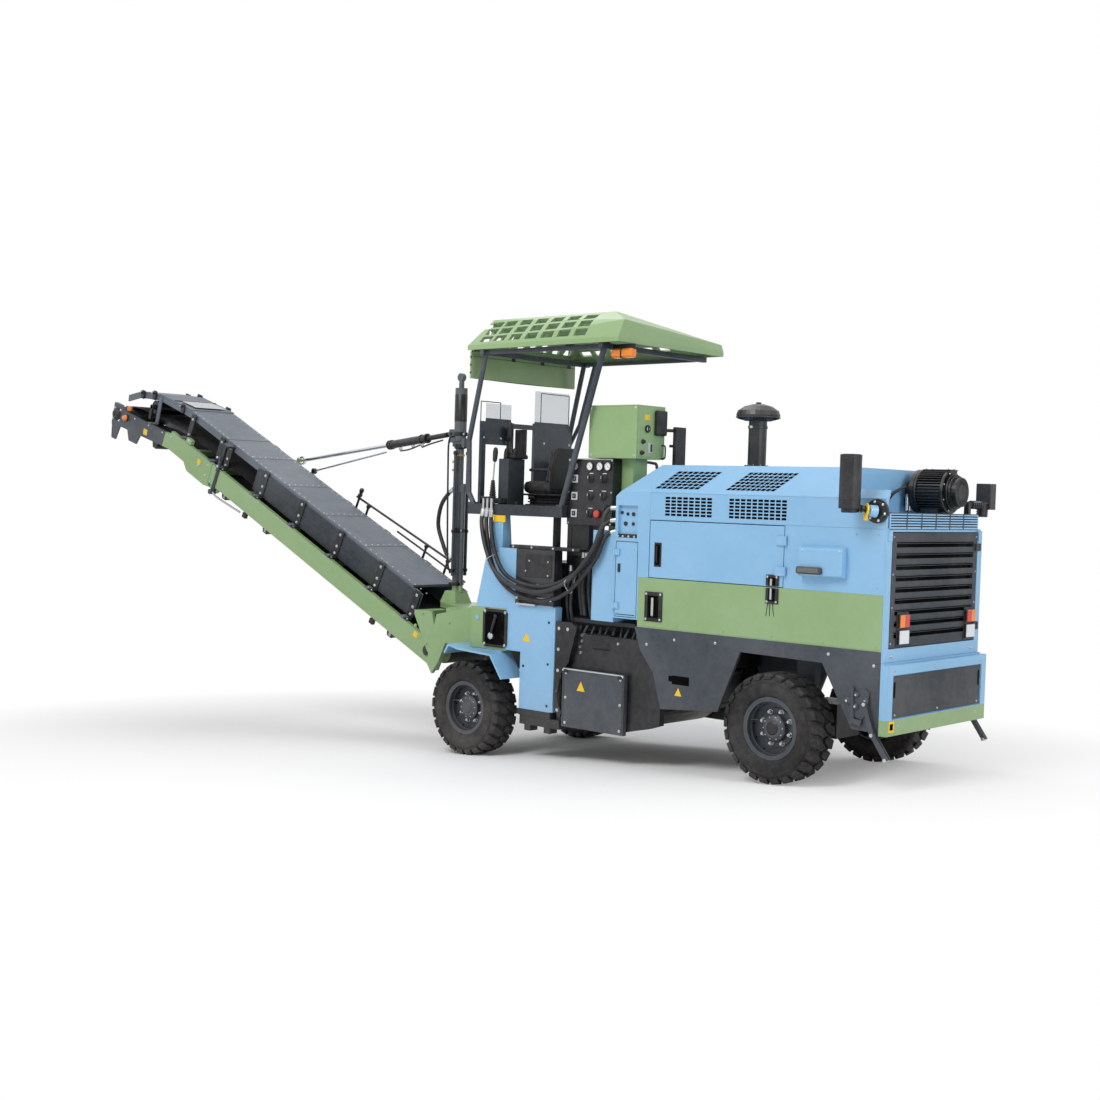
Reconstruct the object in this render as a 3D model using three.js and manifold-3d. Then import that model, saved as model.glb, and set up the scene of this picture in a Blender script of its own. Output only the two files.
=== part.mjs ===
// Compact wheeled cold planer with a front loading conveyor.
// Millimetres, +X forward, +Y to the machine's left, +Z up, wheels standing on Z = 0.
// The machine is drawn level in the group "level"; it parks a few degrees nose-up, on raised front legs.
import * as THREE from "three";
import { mergeVertices } from "three/addons/utils/BufferGeometryUtils.js";
import { ConvexGeometry } from "three/addons/geometries/ConvexGeometry.js";
import Module from "manifold-3d";

const wasm = await Module();
wasm.setup();

// ---------- driving dimensions ----------
const FIT = 0.3; // gap between seated neighbours
const DOOR_GAP = 6; // running gap round doors and flaps
const NOSE_UP = THREE.MathUtils.degToRad(3.97); // pitch of the body as parked

const TYRE_R = 420;
const TYRE_W = 285;
const RIM_R = 238;
const TRACK = 1510;
const AXLE_SPACING = 3244; // between wheel centres, along the ground

const BODY_HALF = 740; // half width over the body panels
const SHEET = 25; // thickness of doors and panels
const REAR_X = -836; // rear face of the body
const HOOD_FRONT_X = 1305;
const COWL_FRONT_X = 1668;
const CHASSIS_TOP = 1064;
const SEAM_Z = 1470; // top of the lower side panels
const DOOR_TOP_Z = 1941;
const SHOULDER_Z = 2165;
const ROOF_Z = 2390; // top of the engine hood
const ROOF_HALF = 560;
const DOOR_HINGE_X = 12; // rear edge of the engine side doors

const FRAME_TOP = 1100; // top of the front frame
const FRAME_X = 2880; // rear end of the front frame's side boxes
const RAIL_TOP = 1080;
const DECK_Z0 = 1925;
const DECK_Z1 = 2020;
const DECK_X0 = 2300;
const DECK_X1 = 3440;
const DECK_HALF = 700;

const DRUM_X = 1800;
const DRUM_Z = 470;
const DRUM_R = 330;
const DRUM_HALF = 590;
const HOUSING_HALF = 690;
const GATE_X = 1300; // hinge of the scraper gate behind the drum
const GATE_Z = 620;
const SIDE_PLATE_T = 28;
const COLUMN_BOTTOM = 190; // bottom of the columns in front of the drum

const KINGPIN_Y = 545;
const KINGPIN_R = 55;
const SLEEVE_BORE = KINGPIN_R + 2;

const CANOPY_BOTTOM = 3400;
const CANOPY_REAR = 1700;
const CANOPY_FRONT = 3460;

const SWING_X = 4280; // turret axis and mast
const MAST_R = 42;
const MAST_TOP = 2625;
const STAY_Z = 2690;
const STAY_REACH = 112; // stay pin ahead of the mast's axis
const LIFT_X = 4100; // lift pivot of the boom
const LIFT_Z = 620;
const BOOM_ANGLE = THREE.MathUtils.degToRad(24.8);
const BEAM_OUT = 400; // outer face of the boom's side beams
const BEAM_T = 45;
const BEAM_BOTTOM = -201; // in the boom's own frame, across it
const BEAM_TOP = 12;
const FOLD_S = 4080; // fold joint, along the boom
const FOLD_T = BEAM_BOTTOM - 34;
const KINK_S = 4950; // bend of the head section
const HEAD_DROP = THREE.MathUtils.degToRad(9);
const HEAD_LENGTH = 1190; // kink to head pulley
const COVER_TOP = 322;
const COVER_T = 28;
const HEAD_BEAM_TOP = -26; // top of the bent end section, from the kink
const COVER_HALF = 292;
const STAY_S = 3660; // eye of the stay on the boom
const STAY_T = 292;
const STAY_Y = -BEAM_OUT - 65;
const BELT_HALF = 260;

// front wheel centre in the level frame
const FRONT_X = AXLE_SPACING * Math.cos(NOSE_UP);
const FRONT_Z = TYRE_R - AXLE_SPACING * Math.sin(NOSE_UP);

// ---------- materials ----------
const paint = (color, roughness = 0.45, metalness = 0.1) =>
  new THREE.MeshStandardMaterial({ color, roughness, metalness });
const GREEN = paint(0x95b085);
const BLUE = paint(0x89b4d9);
const GREY = paint(0x48505a);
const BLACK = paint(0x191a1c, 0.5);
const COVER = paint(0x78828c, 0.4);
const RUBBER = paint(0x1b1b1c, 0.9, 0);
const STEEL = paint(0x70757a, 0.35, 0.8);

// ---------- shape helpers ----------
function toSolid(geometry) {
  const bare = geometry.clone();
  bare.deleteAttribute("normal");
  bare.deleteAttribute("uv");
  const merged = mergeVertices(bare, 1e-3);
  const vertProperties = Float32Array.from(merged.attributes.position.array);
  const triVerts = Uint32Array.from(merged.index.array);
  return new wasm.Manifold(new wasm.Mesh({ numProp: 3, vertProperties, triVerts }));
}

function toGeometry(solid) {
  const mesh = solid.getMesh();
  const geometry = new THREE.BufferGeometry();
  geometry.setAttribute("position", new THREE.BufferAttribute(mesh.vertProperties, 3));
  geometry.setIndex(new THREE.BufferAttribute(mesh.triVerts, 1));
  return geometry;
}

const join = (...solids) => solids.reduce((sum, next) => sum.add(next));
const cut = (solid, ...tools) => tools.reduce((rest, tool) => rest.subtract(tool), solid);

function block(x0, x1, y0, y1, z0, z1) {
  const box = new THREE.BoxGeometry(x1 - x0, y1 - y0, z1 - z0);
  return toSolid(box.translate((x0 + x1) / 2, (y0 + y1) / 2, (z0 + z1) / 2));
}

function outline(points) {
  return new THREE.Shape(points.map(([a, b]) => new THREE.Vector2(a, b)));
}

// outline in X and Z, drawn out from y0 to y1
function sidePlate(points, y0, y1) {
  const plate = new THREE.ExtrudeGeometry(outline(points), { depth: y1 - y0, bevelEnabled: false });
  return toSolid(plate.rotateX(Math.PI / 2).translate(0, y1, 0));
}

// outline in Y and Z, drawn out from x0 to x1
function crossPlate(points, x0, x1) {
  const plate = new THREE.ExtrudeGeometry(outline(points), { depth: x1 - x0, bevelEnabled: false });
  const turn = new THREE.Matrix4().makeBasis(
    new THREE.Vector3(0, 1, 0), new THREE.Vector3(0, 0, 1), new THREE.Vector3(1, 0, 0));
  return toSolid(plate.applyMatrix4(turn).translate(x0, 0, 0));
}

// round bar between two points
function bar(from, to, radius, sides = 16, endRadius = radius) {
  const a = new THREE.Vector3(...from);
  const b = new THREE.Vector3(...to);
  const rod = new THREE.CylinderGeometry(endRadius, radius, a.distanceTo(b), sides);
  const along = b.clone().sub(a).normalize();
  const turn = new THREE.Quaternion().setFromUnitVectors(new THREE.Vector3(0, 1, 0), along);
  const middle = a.add(b).multiplyScalar(0.5);
  return toSolid(rod.applyQuaternion(turn).translate(middle.x, middle.y, middle.z));
}

// four-sided post that tapers from one rectangle to another
function taper([x0, x1, y0, y1, z0], [u0, u1, v0, v1, z1]) {
  const box = new THREE.BoxGeometry(1, 1, 1);
  const place = box.attributes.position;
  for (let i = 0; i < place.count; i += 1) {
    const [right, back, top] = [place.getX(i) > 0, place.getY(i) > 0, place.getZ(i) > 0];
    const x = top ? (right ? u1 : u0) : (right ? x1 : x0);
    const y = top ? (back ? v1 : v0) : (back ? y1 : y0);
    place.setXYZ(i, x, y, top ? z1 : z0);
  }
  return toSolid(box);
}

function turned(profile, segments = 32) {
  const points = profile.map(([r, y]) => new THREE.Vector2(r, y));
  return new THREE.LatheGeometry(points, segments);
}

const machine = new THREE.Group();
const level = new THREE.Group(); // everything in the body's own level frame
machine.add(level);

function add(name, shape, material, parent = level) {
  const geometry = shape.isBufferGeometry ? shape : toGeometry(shape);
  const mesh = new THREE.Mesh(geometry, material);
  mesh.name = name;
  parent.add(mesh);
  return mesh;
}

const SIDES = [["left", 1], ["right", -1]];
const mirrored = (solid, side) => (side > 0 ? solid : solid.mirror([0, 1, 0]));

// ---------- chassis ----------
function chassisFrame() {
  const plate = [
    [REAR_X, 477], [-614, 484], [-350, 940], [383, 953], [579, 465], [1140, 421], [1224, 704],
    [1366, 877], [1430, CHASSIS_TOP], [REAR_X, CHASSIS_TOP],
  ];
  const inner = BODY_HALF - SIDE_PLATE_T;
  const rails = [];
  for (const [, side] of SIDES) {
    const [y0, y1] = side > 0 ? [inner, BODY_HALF] : [-BODY_HALF, -inner];
    rails.push(sidePlate(plate, y0, y1));
    const [r0, r1] = side > 0 ? [300, 380] : [-380, -300];
    rails.push(block(1380, 2800 - FIT, r0, r1, 960, RAIL_TOP));
    rails.push(block(-80, 80, r0 + 20, r1 + 20, TYRE_R + 70 + FIT, 1020));
  }
  return join(
    block(REAR_X, 1430, -inner - 1, inner + 1, 1010, CHASSIS_TOP),
    block(-836, -800, -inner - 1, inner + 1, 480, 1020),
    block(1380, 1430, -inner - 1, inner + 1, 960, 1020),
    ...rails);
}
add("chassis_frame", chassisFrame(), GREY);

// ---------- axles, wheels and steering ----------
const HUB_INNER = 60; // hub boss reaches this far inboard of the wheel's middle
const hubFace = TRACK / 2 - HUB_INNER - FIT;

function rearAxle() {
  const z = TYRE_R;
  return join(
    bar([0, -hubFace, z], [0, hubFace, z], 62, 20),
    block(-75, 75, 315, 405, z, z + 70),
    block(-75, 75, -405, -315, z, z + 70),
    block(-150, 150, -170, 170, z - 130, z + 140));
}
add("rear_axle", rearAxle(), BLACK);

const TYRE_HALF = TYRE_W / 2;
const TYRE_PROFILE = [
  [RIM_R + FIT, -TYRE_HALF + 22], [325, -TYRE_HALF], [392, -TYRE_HALF + 5], [TYRE_R, -TYRE_HALF + 38],
  [TYRE_R, TYRE_HALF - 38], [392, TYRE_HALF - 5], [325, TYRE_HALF], [RIM_R + FIT, TYRE_HALF - 22],
  [RIM_R + FIT, -TYRE_HALF + 22],
];
const BEAD = TYRE_HALF - 24;
const WHEEL_SEGMENTS = 48; // one corner of the tyre stands on the ground
const RIM_PROFILE = [
  [0, -HUB_INNER], [105, -HUB_INNER], [105, -12], [222, -12], [222, -BEAD], [RIM_R, -BEAD],
  [RIM_R, BEAD], [222, BEAD], [222, 16], [105, 16], [105, 62], [70, 84], [0, 84],
];

function wheel(axle, side, x, z) {
  const name = side > 0 ? "left" : "right";
  const parts = [["tyre", TYRE_PROFILE, RUBBER], ["rim", RIM_PROFILE, GREY]];
  for (const [part, profile, material] of parts) {
    const mesh = add(`${axle}_${part}_${name}`, toSolid(turned(profile, WHEEL_SEGMENTS)), material);
    mesh.position.set(x, side * TRACK / 2, z);
    mesh.rotation.set(0, NOSE_UP, side > 0 ? 0 : Math.PI);
  }
}

const SLEEVE_BOTTOM = 650;

function knuckle() {
  const z = FRONT_Z;
  return join(
    bar([FRONT_X, KINGPIN_Y, z - 80], [FRONT_X, KINGPIN_Y, FRAME_TOP - 130], KINGPIN_R, 24),
    block(FRONT_X - 70, FRONT_X + 70, KINGPIN_Y - 60, KINGPIN_Y + 55, z - 85, z + 85),
    bar([FRONT_X, KINGPIN_Y, z], [FRONT_X, hubFace, z], 60, 20));
}
for (const [name, side] of SIDES) {
  wheel("rear", side, 0, TYRE_R);
  wheel("front", side, FRONT_X, FRONT_Z);
  add(`steering_knuckle_${name}`, mirrored(knuckle(), side), GREY);
}

// ---------- front frame ----------
function frontFrame() {
  const x = FRONT_X;
  const cheek = [
    [FRAME_X, 730], [3620, 720], [3790, 710], [3880, 525], [3970, 410], [4040, 510], [3985, 700],
    [3920, 970], [3320, FRAME_TOP], [FRAME_X, FRAME_TOP],
  ];
  const parts = [];
  for (const [, side] of SIDES) {
    const half = join(
      sidePlate(cheek, 560, 600),
      block(FRAME_X, 3320, 345, BODY_HALF, 730, FRAME_TOP),
      block(3300, 3560, 345, 580, 730, 1040),
      block(x - 90, x + 90, KINGPIN_Y - 95, KINGPIN_Y + 75, SLEEVE_BOTTOM, 1000));
    const bored = cut(half,
      bar([x, KINGPIN_Y, SLEEVE_BOTTOM - 10], [x, KINGPIN_Y, FRAME_TOP - 120], SLEEVE_BORE, 24));
    parts.push(mirrored(bored, side));
  }
  const nose = [[3550, -590], [3800, -590], [3900, -330], [4380, -110], [4380, 110], [3900, 330],
    [3800, 590], [3550, 590]];
  const plate = new THREE.ExtrudeGeometry(outline(nose), { depth: 50, bevelEnabled: false });
  const kingHole = bar([SWING_X, 0, 900], [SWING_X, 0, 1100], 46, 24);
  return cut(join(
    ...parts,
    block(2800, 3600, -350, 350, 990, 1050),
    toSolid(plate.translate(0, 0, 985))), kingHole);
}
add("front_frame", frontFrame(), GREEN);

function frontFender() {
  const sheet = [
    [2770, 500], [2786, 496], [2925, 690], [3330, 708], [3440, 733], [3490, 660], [3504, 668],
    [3455, 752], [3325, 726], [2915, 708],
  ];
  return join(
    sidePlate(sheet, 625, 895),
    block(2930, 3310, 625, 735, 700, 730 - FIT));
}
for (const [name, side] of SIDES) {
  add(`front_fender_${name}`, mirrored(frontFender(), side), BLUE);
}

// light-blue upright between front frame and deck, with the tall column in front of the drum
function deckSupport() {
  const column = block(2330, 2700, 640, BODY_HALF, COLUMN_BOTTOM, 1640);
  const link = join(
    block(2690, FRAME_X - FIT, 715, BODY_HALF, 740, 1640),
    block(FRAME_X - 10, 3000, 715, BODY_HALF, FRAME_TOP + FIT, 1640));
  const cone = taper([2960, 3260, 560, BODY_HALF, FRAME_TOP + FIT], [3000, 3110, 600, 690, DECK_Z0 - FIT]);
  return join(column, link, cone);
}
for (const [name, side] of SIDES) {
  add(`deck_support_${name}`, mirrored(deckSupport(), side), BLUE);
}

// ---------- milling unit ----------
function drumHousing() {
  const shell = sidePlate([
    [1150, 680], [1150, 800], [1290, 950], [2180, 950], [2300, 830], [2300, 160], [2240, 160],
    [2240, 800], [2150, 890], [1320, 890], [1210, 780], [1210, 680],
  ], -HOUSING_HALF, HOUSING_HALF);
  const side = [[1180, 270], [1180, 640], [1280, 940], [2170, 940], [2290, 820], [2290, 170], [1560, 170],
    [1300, 230]];
  const seats = [];
  for (const [, s] of SIDES) {
    const [y0, y1] = s > 0 ? [DRUM_HALF + 40, HOUSING_HALF] : [-HOUSING_HALF, -DRUM_HALF - 40];
    seats.push(sidePlate(side, y0, y1));
    const [g0, g1] = s > 0 ? [DRUM_HALF + 0.6, HOUSING_HALF - 10] : [10 - HOUSING_HALF, -DRUM_HALF - 0.6];
    seats.push(block(GATE_X - 34, GATE_X + 34, g0, g1, GATE_Z - 34, GATE_Z + 34));
    const [f0, f1] = s > 0 ? [640, 736] : [-736, -640];
    seats.push(block(2225, 2300, s > 0 ? f0 : -HOUSING_HALF, s > 0 ? HOUSING_HALF : f1, 112, 200));
    seats.push(block(2225, 2690, f0, f1, 112, COLUMN_BOTTOM - FIT));
    for (const x of [2330, 2560]) seats.push(block(x, x + 70, f0, f1, 62, 130));
    const [r0, r1] = s > 0 ? [300, 380] : [-380, -300];
    seats.push(block(1500, 2100, r0, r1, 940, 960 - FIT));
    seats.push(bar([DRUM_X, s * (DRUM_HALF - 40), DRUM_Z], [DRUM_X, s * (DRUM_HALF + 60), DRUM_Z], 70, 20));
  }
  return join(shell, ...seats);
}
add("drum_housing", drumHousing(), BLACK);

function millingDrum() {
  const body = turned([[0, -DRUM_HALF], [DRUM_R, -DRUM_HALF], [DRUM_R, DRUM_HALF], [0, DRUM_HALF]], 36);
  const ends = [1, -1].map((s) =>
    bar([0, s * (DRUM_HALF - 60), 0], [0, s * (DRUM_HALF + 5), 0], 70.95, 20));
  return cut(toSolid(body), ...ends);
}
add("milling_drum", millingDrum(), STEEL).position.set(DRUM_X, 0, DRUM_Z);

function drumSidePlate() {
  const guides = [1570, 2130].map((x) => block(x, x + 30, HOUSING_HALF + 0.7, BODY_HALF - 10, 300, 620));
  return join(block(1520, 2200, HOUSING_HALF + DOOR_GAP, BODY_HALF, 150, 650), ...guides);
}
for (const [name, side] of SIDES) {
  add(`drum_side_plate_${name}`, mirrored(drumSidePlate(), side), GREY);
}

function scraperGate() {
  return join(
    bar([GATE_X, -DRUM_HALF, GATE_Z], [GATE_X, DRUM_HALF, GATE_Z], 28, 16),
    block(GATE_X - 14, GATE_X + 14, -DRUM_HALF, DRUM_HALF, 350, GATE_Z),
    block(GATE_X - 30, GATE_X + 30, -DRUM_HALF, DRUM_HALF, 330, 360));
}
add("scraper_gate", scraperGate(), GREY);

function primaryConveyor() {
  const trough = [[2330, 230], [3930, 760], [3930, 975], [3400, 975], [2330, 560]];
  const hollow = [[2300, 262], [4000, 825], [4000, 1200], [2300, 1200]];
  return join(
    cut(sidePlate(trough, -250, 250), sidePlate(hollow, -212, 212)),
    block(2300 + FIT, 2420, -250, -212, 270, 500),
    block(2300 + FIT, 2420, 212, 250, 270, 500),
    block(3420, 3540, -250, -212, 960, 990 - FIT),
    block(3420, 3540, 212, 250, 960, 990 - FIT));
}
add("primary_conveyor", primaryConveyor(), GREY);

// ---------- engine bay ----------
add("engine_block", block(-60, 980, -330, 330, CHASSIS_TOP + FIT, 1860), GREY);
add("radiator", block(-730, -590, -600, 600, CHASSIS_TOP + FIT, 1900), BLACK);

function lowerPanel() {
  return block(REAR_X, 1406, BODY_HALF - SHEET, BODY_HALF, CHASSIS_TOP + FIT, SEAM_Z);
}

function hoodSection(inset) {
  const h = BODY_HALF - inset;
  const r = ROOF_HALF - inset * 0.4;
  const top = ROOF_Z - inset;
  const z = inset > 0 ? SEAM_Z - 100 : SEAM_Z + FIT;
  const shoulder = SHOULDER_Z - inset * 0.4;
  return [[-h, z], [h, z], [h, shoulder], [r, top], [-r, top], [-h, shoulder]];
}

const POCKET_FRONT = -500; // fan motor pocket at the rear of the hood
function engineHood() {
  const inner = BODY_HALF - SHEET;
  const shell = cut(
    crossPlate(hoodSection(0), REAR_X, HOOD_FRONT_X),
    crossPlate(hoodSection(SHEET), REAR_X - 10, HOOD_FRONT_X + 10),
    block(DOOR_HINGE_X, HOOD_FRONT_X + 10, -800, 800, SEAM_Z - 10, DOOR_TOP_Z),
    block(REAR_X - 10, POCKET_FRONT, -800, inner - 25, DOOR_TOP_Z + 5, ROOF_Z + 10));
  return join(
    shell,
    block(REAR_X, POCKET_FRONT, -inner - 5, inner + 5, DOOR_TOP_Z - 15, DOOR_TOP_Z + 10),
    block(REAR_X, REAR_X + 20, -690, 690, DOOR_TOP_Z - 10, 2060),
    cut(crossPlate(hoodSection(SHEET - 1), POCKET_FRONT, POCKET_FRONT + 15),
      block(-900, 0, -800, 800, SEAM_Z - 200, DOOR_TOP_Z - 10)));
}
add("engine_hood", engineHood(), BLUE);

const HINGE_R = 12;
const HINGE_OFF = HINGE_R + 0.6; // hinge line stands this far off the wall
const HINGE_BACK = 14; // and this far back from the edge of the opening
function sideDoor() {
  const y = BODY_HALF;
  const x = DOOR_HINGE_X;
  const h = x - HINGE_BACK;
  const leaves = [SEAM_Z + 90, DOOR_TOP_Z - 150].map((z) => join(
    bar([h, y + HINGE_OFF, z], [h, y + HINGE_OFF, z + 70], HINGE_R, 12),
    block(h, x + 70, y + 3, y + HINGE_OFF + 3, z, z + 70),
    block(x + DOOR_GAP, x + 70, y - 2, y + 10, z, z + 70)));
  return join(
    block(x + DOOR_GAP, HOOD_FRONT_X - DOOR_GAP, y - SHEET, y, SEAM_Z + DOOR_GAP, DOOR_TOP_Z - DOOR_GAP),
    ...leaves);
}

function frontCowl() {
  const side = [
    [HOOD_FRONT_X + FIT, SEAM_Z + FIT], [1406 + FIT, SEAM_Z + FIT], [1406 + FIT, 1120],
    [COWL_FRONT_X, 1120], [COWL_FRONT_X, 2125], [1335, ROOF_Z], [HOOD_FRONT_X + FIT, ROOF_Z],
  ];
  const solid = sidePlate(side, -BODY_HALF, BODY_HALF)
    .intersect(crossPlate([[-BODY_HALF, 1100], [BODY_HALF, 1100], ...hoodSection(0).slice(2)], 1300, 1700));
  const room = block(1200, COWL_FRONT_X - 40, -BODY_HALF + 60, BODY_HALF - 60, 1000, 2080);
  const doorCuts = [1, -1].map((s) => {
    const [y0, y1] = s > 0 ? [BODY_HALF - SHEET - 4, 800] : [-800, -BODY_HALF + SHEET + 4];
    return block(1420, 1655, y0, y1, 1132, 1756);
  });
  const recess = block(1436, 1640, BODY_HALF - 30, 800, 1785, 2050);
  const feet = [1, -1].map((s) => {
    const [y0, y1] = s > 0 ? [300, 380] : [-380, -300];
    return block(1500, COWL_FRONT_X, y0, y1, RAIL_TOP + FIT, 1160);
  });
  const sill = block(COWL_FRONT_X - 60, COWL_FRONT_X, -BODY_HALF + 30, BODY_HALF - 30, 1120, 1160);
  return join(cut(solid, room, recess, ...doorCuts), sill, ...feet);
}
add("front_cowl", frontCowl(), BLUE);

const SERVICE_HINGE_X = 1655;
function serviceDoor() {
  const y = BODY_HALF;
  const x = SERVICE_HINGE_X;
  const h = x + 6;
  const leaves = [1200, 1640].map((z) => join(
    bar([h, y + HINGE_OFF, z], [h, y + HINGE_OFF, z + 50], HINGE_R, 12),
    block(x - 50, h, y + 3, y + HINGE_OFF + 3, z, z + 50),
    block(x - 50, x - DOOR_GAP, y - 2, y + 10, z, z + 50)));
  return join(block(1420 + DOOR_GAP, x - DOOR_GAP, y - SHEET + 2, y, 1138, 1750), ...leaves);
}
for (const [name, side] of SIDES) {
  add(`lower_panel_${name}`, mirrored(lowerPanel(), side), GREEN);
  add(`engine_door_${name}`, mirrored(sideDoor(), side), BLUE);
  add(`service_door_${name}`, mirrored(serviceDoor(), side), BLUE);
}

// ---------- rear end ----------
const POST_IN = 667;
function rearFrame() {
  const x0 = REAR_X - 14;
  const posts = [[POST_IN, BODY_HALF], [-BODY_HALF, -POST_IN]].map(([y0, y1]) =>
    block(x0, REAR_X - FIT, y0, y1, 985, DOOR_TOP_Z - 5));
  return join(...posts,
    block(x0, REAR_X - FIT, -BODY_HALF, BODY_HALF, 985, 1082));
}
add("rear_frame", rearFrame(), BLUE);

const GRILLE_HINGE_Y = -POST_IN - 8;
function grilleDoor() {
  const x0 = REAR_X - 14;
  const x1 = REAR_X + 14;
  const z0 = 1082 + DOOR_GAP;
  const z1 = DOOR_TOP_Z - 15 - DOOR_GAP;
  const half = POST_IN - 7;
  const slots = [];
  for (let i = 0; i < 9; i += 1) {
    const z = z0 + 70 + i * 82;
    slots.push(block(x0 - 5, x1 + 5, -half + 60, half - 60, z, z + 42));
  }
  const leaves = [z0 + 80, z1 - 140].map((z) => join(
    bar([x0 - HINGE_OFF, GRILLE_HINGE_Y, z], [x0 - HINGE_OFF, GRILLE_HINGE_Y, z + 60], HINGE_R, 12),
    block(x0 - HINGE_OFF - 3, x0 - 3, GRILLE_HINGE_Y, -half + 40, z, z + 60),
    block(x0 - 10, x0 + 2, -half, -half + 40, z, z + 60)));
  return join(cut(block(x0, x1, -half, half, z0, z1), ...slots), ...leaves);
}
add("rear_grille_door", grilleDoor(), GREY);

function rearBumper() {
  const x = -913;
  return join(
    cut(block(x, REAR_X - 14 - FIT, -765, 765, 464, 972),
      block(x - 5, x + 15, -690, 690, 582, 899)),
    block(x + 12, x + 20, -686, 686, 586, 895),
    block(-870, REAR_X - FIT, -740, 740, 480, 985 - FIT));
}
add("rear_bumper", rearBumper(), BLUE);

function fanMotor() {
  const [y, z] = [-200, 2230];
  const front = POCKET_FRONT - FIT;
  return join(
    bar([front, y, z], [-600, y, z], 82, 20),
    bar([-575, y, z], [-610, y, z], 168, 28),
    bar([-600, y, z], [-850, y, z], 150, 28),
    bar([-840, y, z], [-900, y, z], 128, 28),
    bar([-890, y, z], [-936, y, z], 112, 28),
    block(-790, -650, y - 100, y + 100, DOOR_TOP_Z + 10 + FIT, z),
    block(-860, -640, y - 60, y + 60, z + 120, z + 166));
}
add("fan_motor", fanMotor(), BLACK);

function airStack() {
  const [x, y] = [660, 200];
  const base = ROOF_Z + FIT;
  const cap = [[0, 370], [70, 370], [125, 378], [172, 398], [178, 418], [166, 452], [112, 488], [50, 506], [0, 510]];
  const dome = toSolid(turned(cap, 28)).rotate([90, 0, 0]).translate([x, y, base]);
  return join(bar([x, y, base], [x, y, base + 380], 74, 24), dome);
}
add("air_stack", airStack(), BLACK);

function rearLampLeft() {
  const y = BODY_HALF + FIT;
  return join(
    bar([-770, y, 2072], [-770, y + 22, 2072], 88, 20),
    bar([-770, y + 20, 2072], [-650, y + 150, 2100], 22, 12),
    bar([-630, y + 165, 2085], [-630, y + 165, 2470], 78, 24));
}
add("rear_lamp_left", rearLampLeft(), BLACK);

function rearLampRight() {
  const floor = DOOR_TOP_Z + 10 + FIT;
  return join(
    block(-800, -700, -712, -620, floor, floor + 18),
    block(-770, -730, -690, -650, floor, 2160),
    bar([-750, -670, 2140], [-750, -940, 2140], 20, 12),
    bar([-750, -925, 2045], [-750, -925, 2150], 42, 20),
    block(-810, -690, -1032, -930, 2105, 2312));
}
add("rear_lamp_right", rearLampRight(), BLACK);

// ---------- tank, pumps, deck and controls ----------
function hydraulicTank() {
  return join(
    block(COWL_FRONT_X + FIT, 1935, 300, 690, RAIL_TOP + FIT, 1835),
    block(COWL_FRONT_X + FIT, 1890, 640, 732, RAIL_TOP + FIT, 1835),
    bar([1890, 688, RAIL_TOP + FIT], [1890, 688, 1835], 44, 24));
}
add("hydraulic_tank", hydraulicTank(), BLUE);

function pumpUnit() {
  const posts = [[2340, 520], [2340, -520], [2760, -300], [2760, 240]].map(([x, y]) =>
    block(x - 25, x + 25, y - 25, y + 25, 1490, DECK_Z0 - FIT));
  return join(
    block(2000, 2790, -395, 395, RAIL_TOP + FIT, 1270),
    block(2050, 2790, -560, 560, 1480, 1530),
    block(2100, 2700, -330, 330, 1260, 1500),
    bar([2420, -200, 1630], [2420, 320, 1630], 105, 20),
    ...posts);
}
add("pump_unit", pumpUnit(), BLACK);

function deck() {
  const rim = 60;
  const plate = cut(
    block(DECK_X0, DECK_X1, -DECK_HALF, DECK_HALF, DECK_Z0, DECK_Z1),
    block(DECK_X0 + rim, DECK_X1 - rim, -DECK_HALF + rim, DECK_HALF - rim, DECK_Z1 - 20, DECK_Z1 + 10));
  return join(plate, block(3080, 3200, 350, 560, DECK_Z1 - 40, 2430));
}
add("operator_deck", deck(), GREY);

function frontConsole() {
  const x0 = 3390;
  const x1 = 3420;
  return join(
    block(x0, x1, 180, 600, 2560, 2770),
    block(x0, x1, 545, 600, DECK_Z1 + FIT, 2600),
    block(x0, x1, 180, 230, DECK_Z1 + FIT, 2600),
    block(x0, x1, -638, -105, DECK_Z1 + FIT, 2785),
    block(x0, x1, -110, 190, 2720, 2765),
    block(x0 + 8, x1 - 10, 210, 535, 2760, 2935),
    block(x0 + 8, x1 - 10, -590, -120, 2780, 3090));
}
add("front_console", frontConsole(), GREY);

function seat() {
  const floor = DECK_Z1 - 20 + FIT;
  return join(
    block(2900, 3060, 70, 230, floor, 2140),
    block(2790, 3190, -30, 330, 2120, 2230),
    sidePlate([[2790, 2180], [2860, 2180], [2830, 2570], [2750, 2570]], -20, 320));
}
add("operator_seat", seat(), BLACK);

function controlCabinet() {
  return join(
    block(1680, 1930, 330, 512, 1835 + FIT, 2450),
    block(1575, 2095, 240, 612, 2440, 2885),
    bar([1590, 250, 2690], [1500, 150, 2690], 14, 12),
    bar([1500, 150, 2640], [1500, 150, 2700], 14, 12),
    block(1485, 1515, 60, 200, 2400, 2720));
}
add("control_cabinet", controlCabinet(), GREEN);

add("instrument_panel", join(
  block(1800, DECK_X0 - FIT, 520, 632, 1870, 2434),
  block(2110, DECK_X0 - FIT, 500, 556, 1530 + FIT, 1960)), BLACK);

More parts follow.
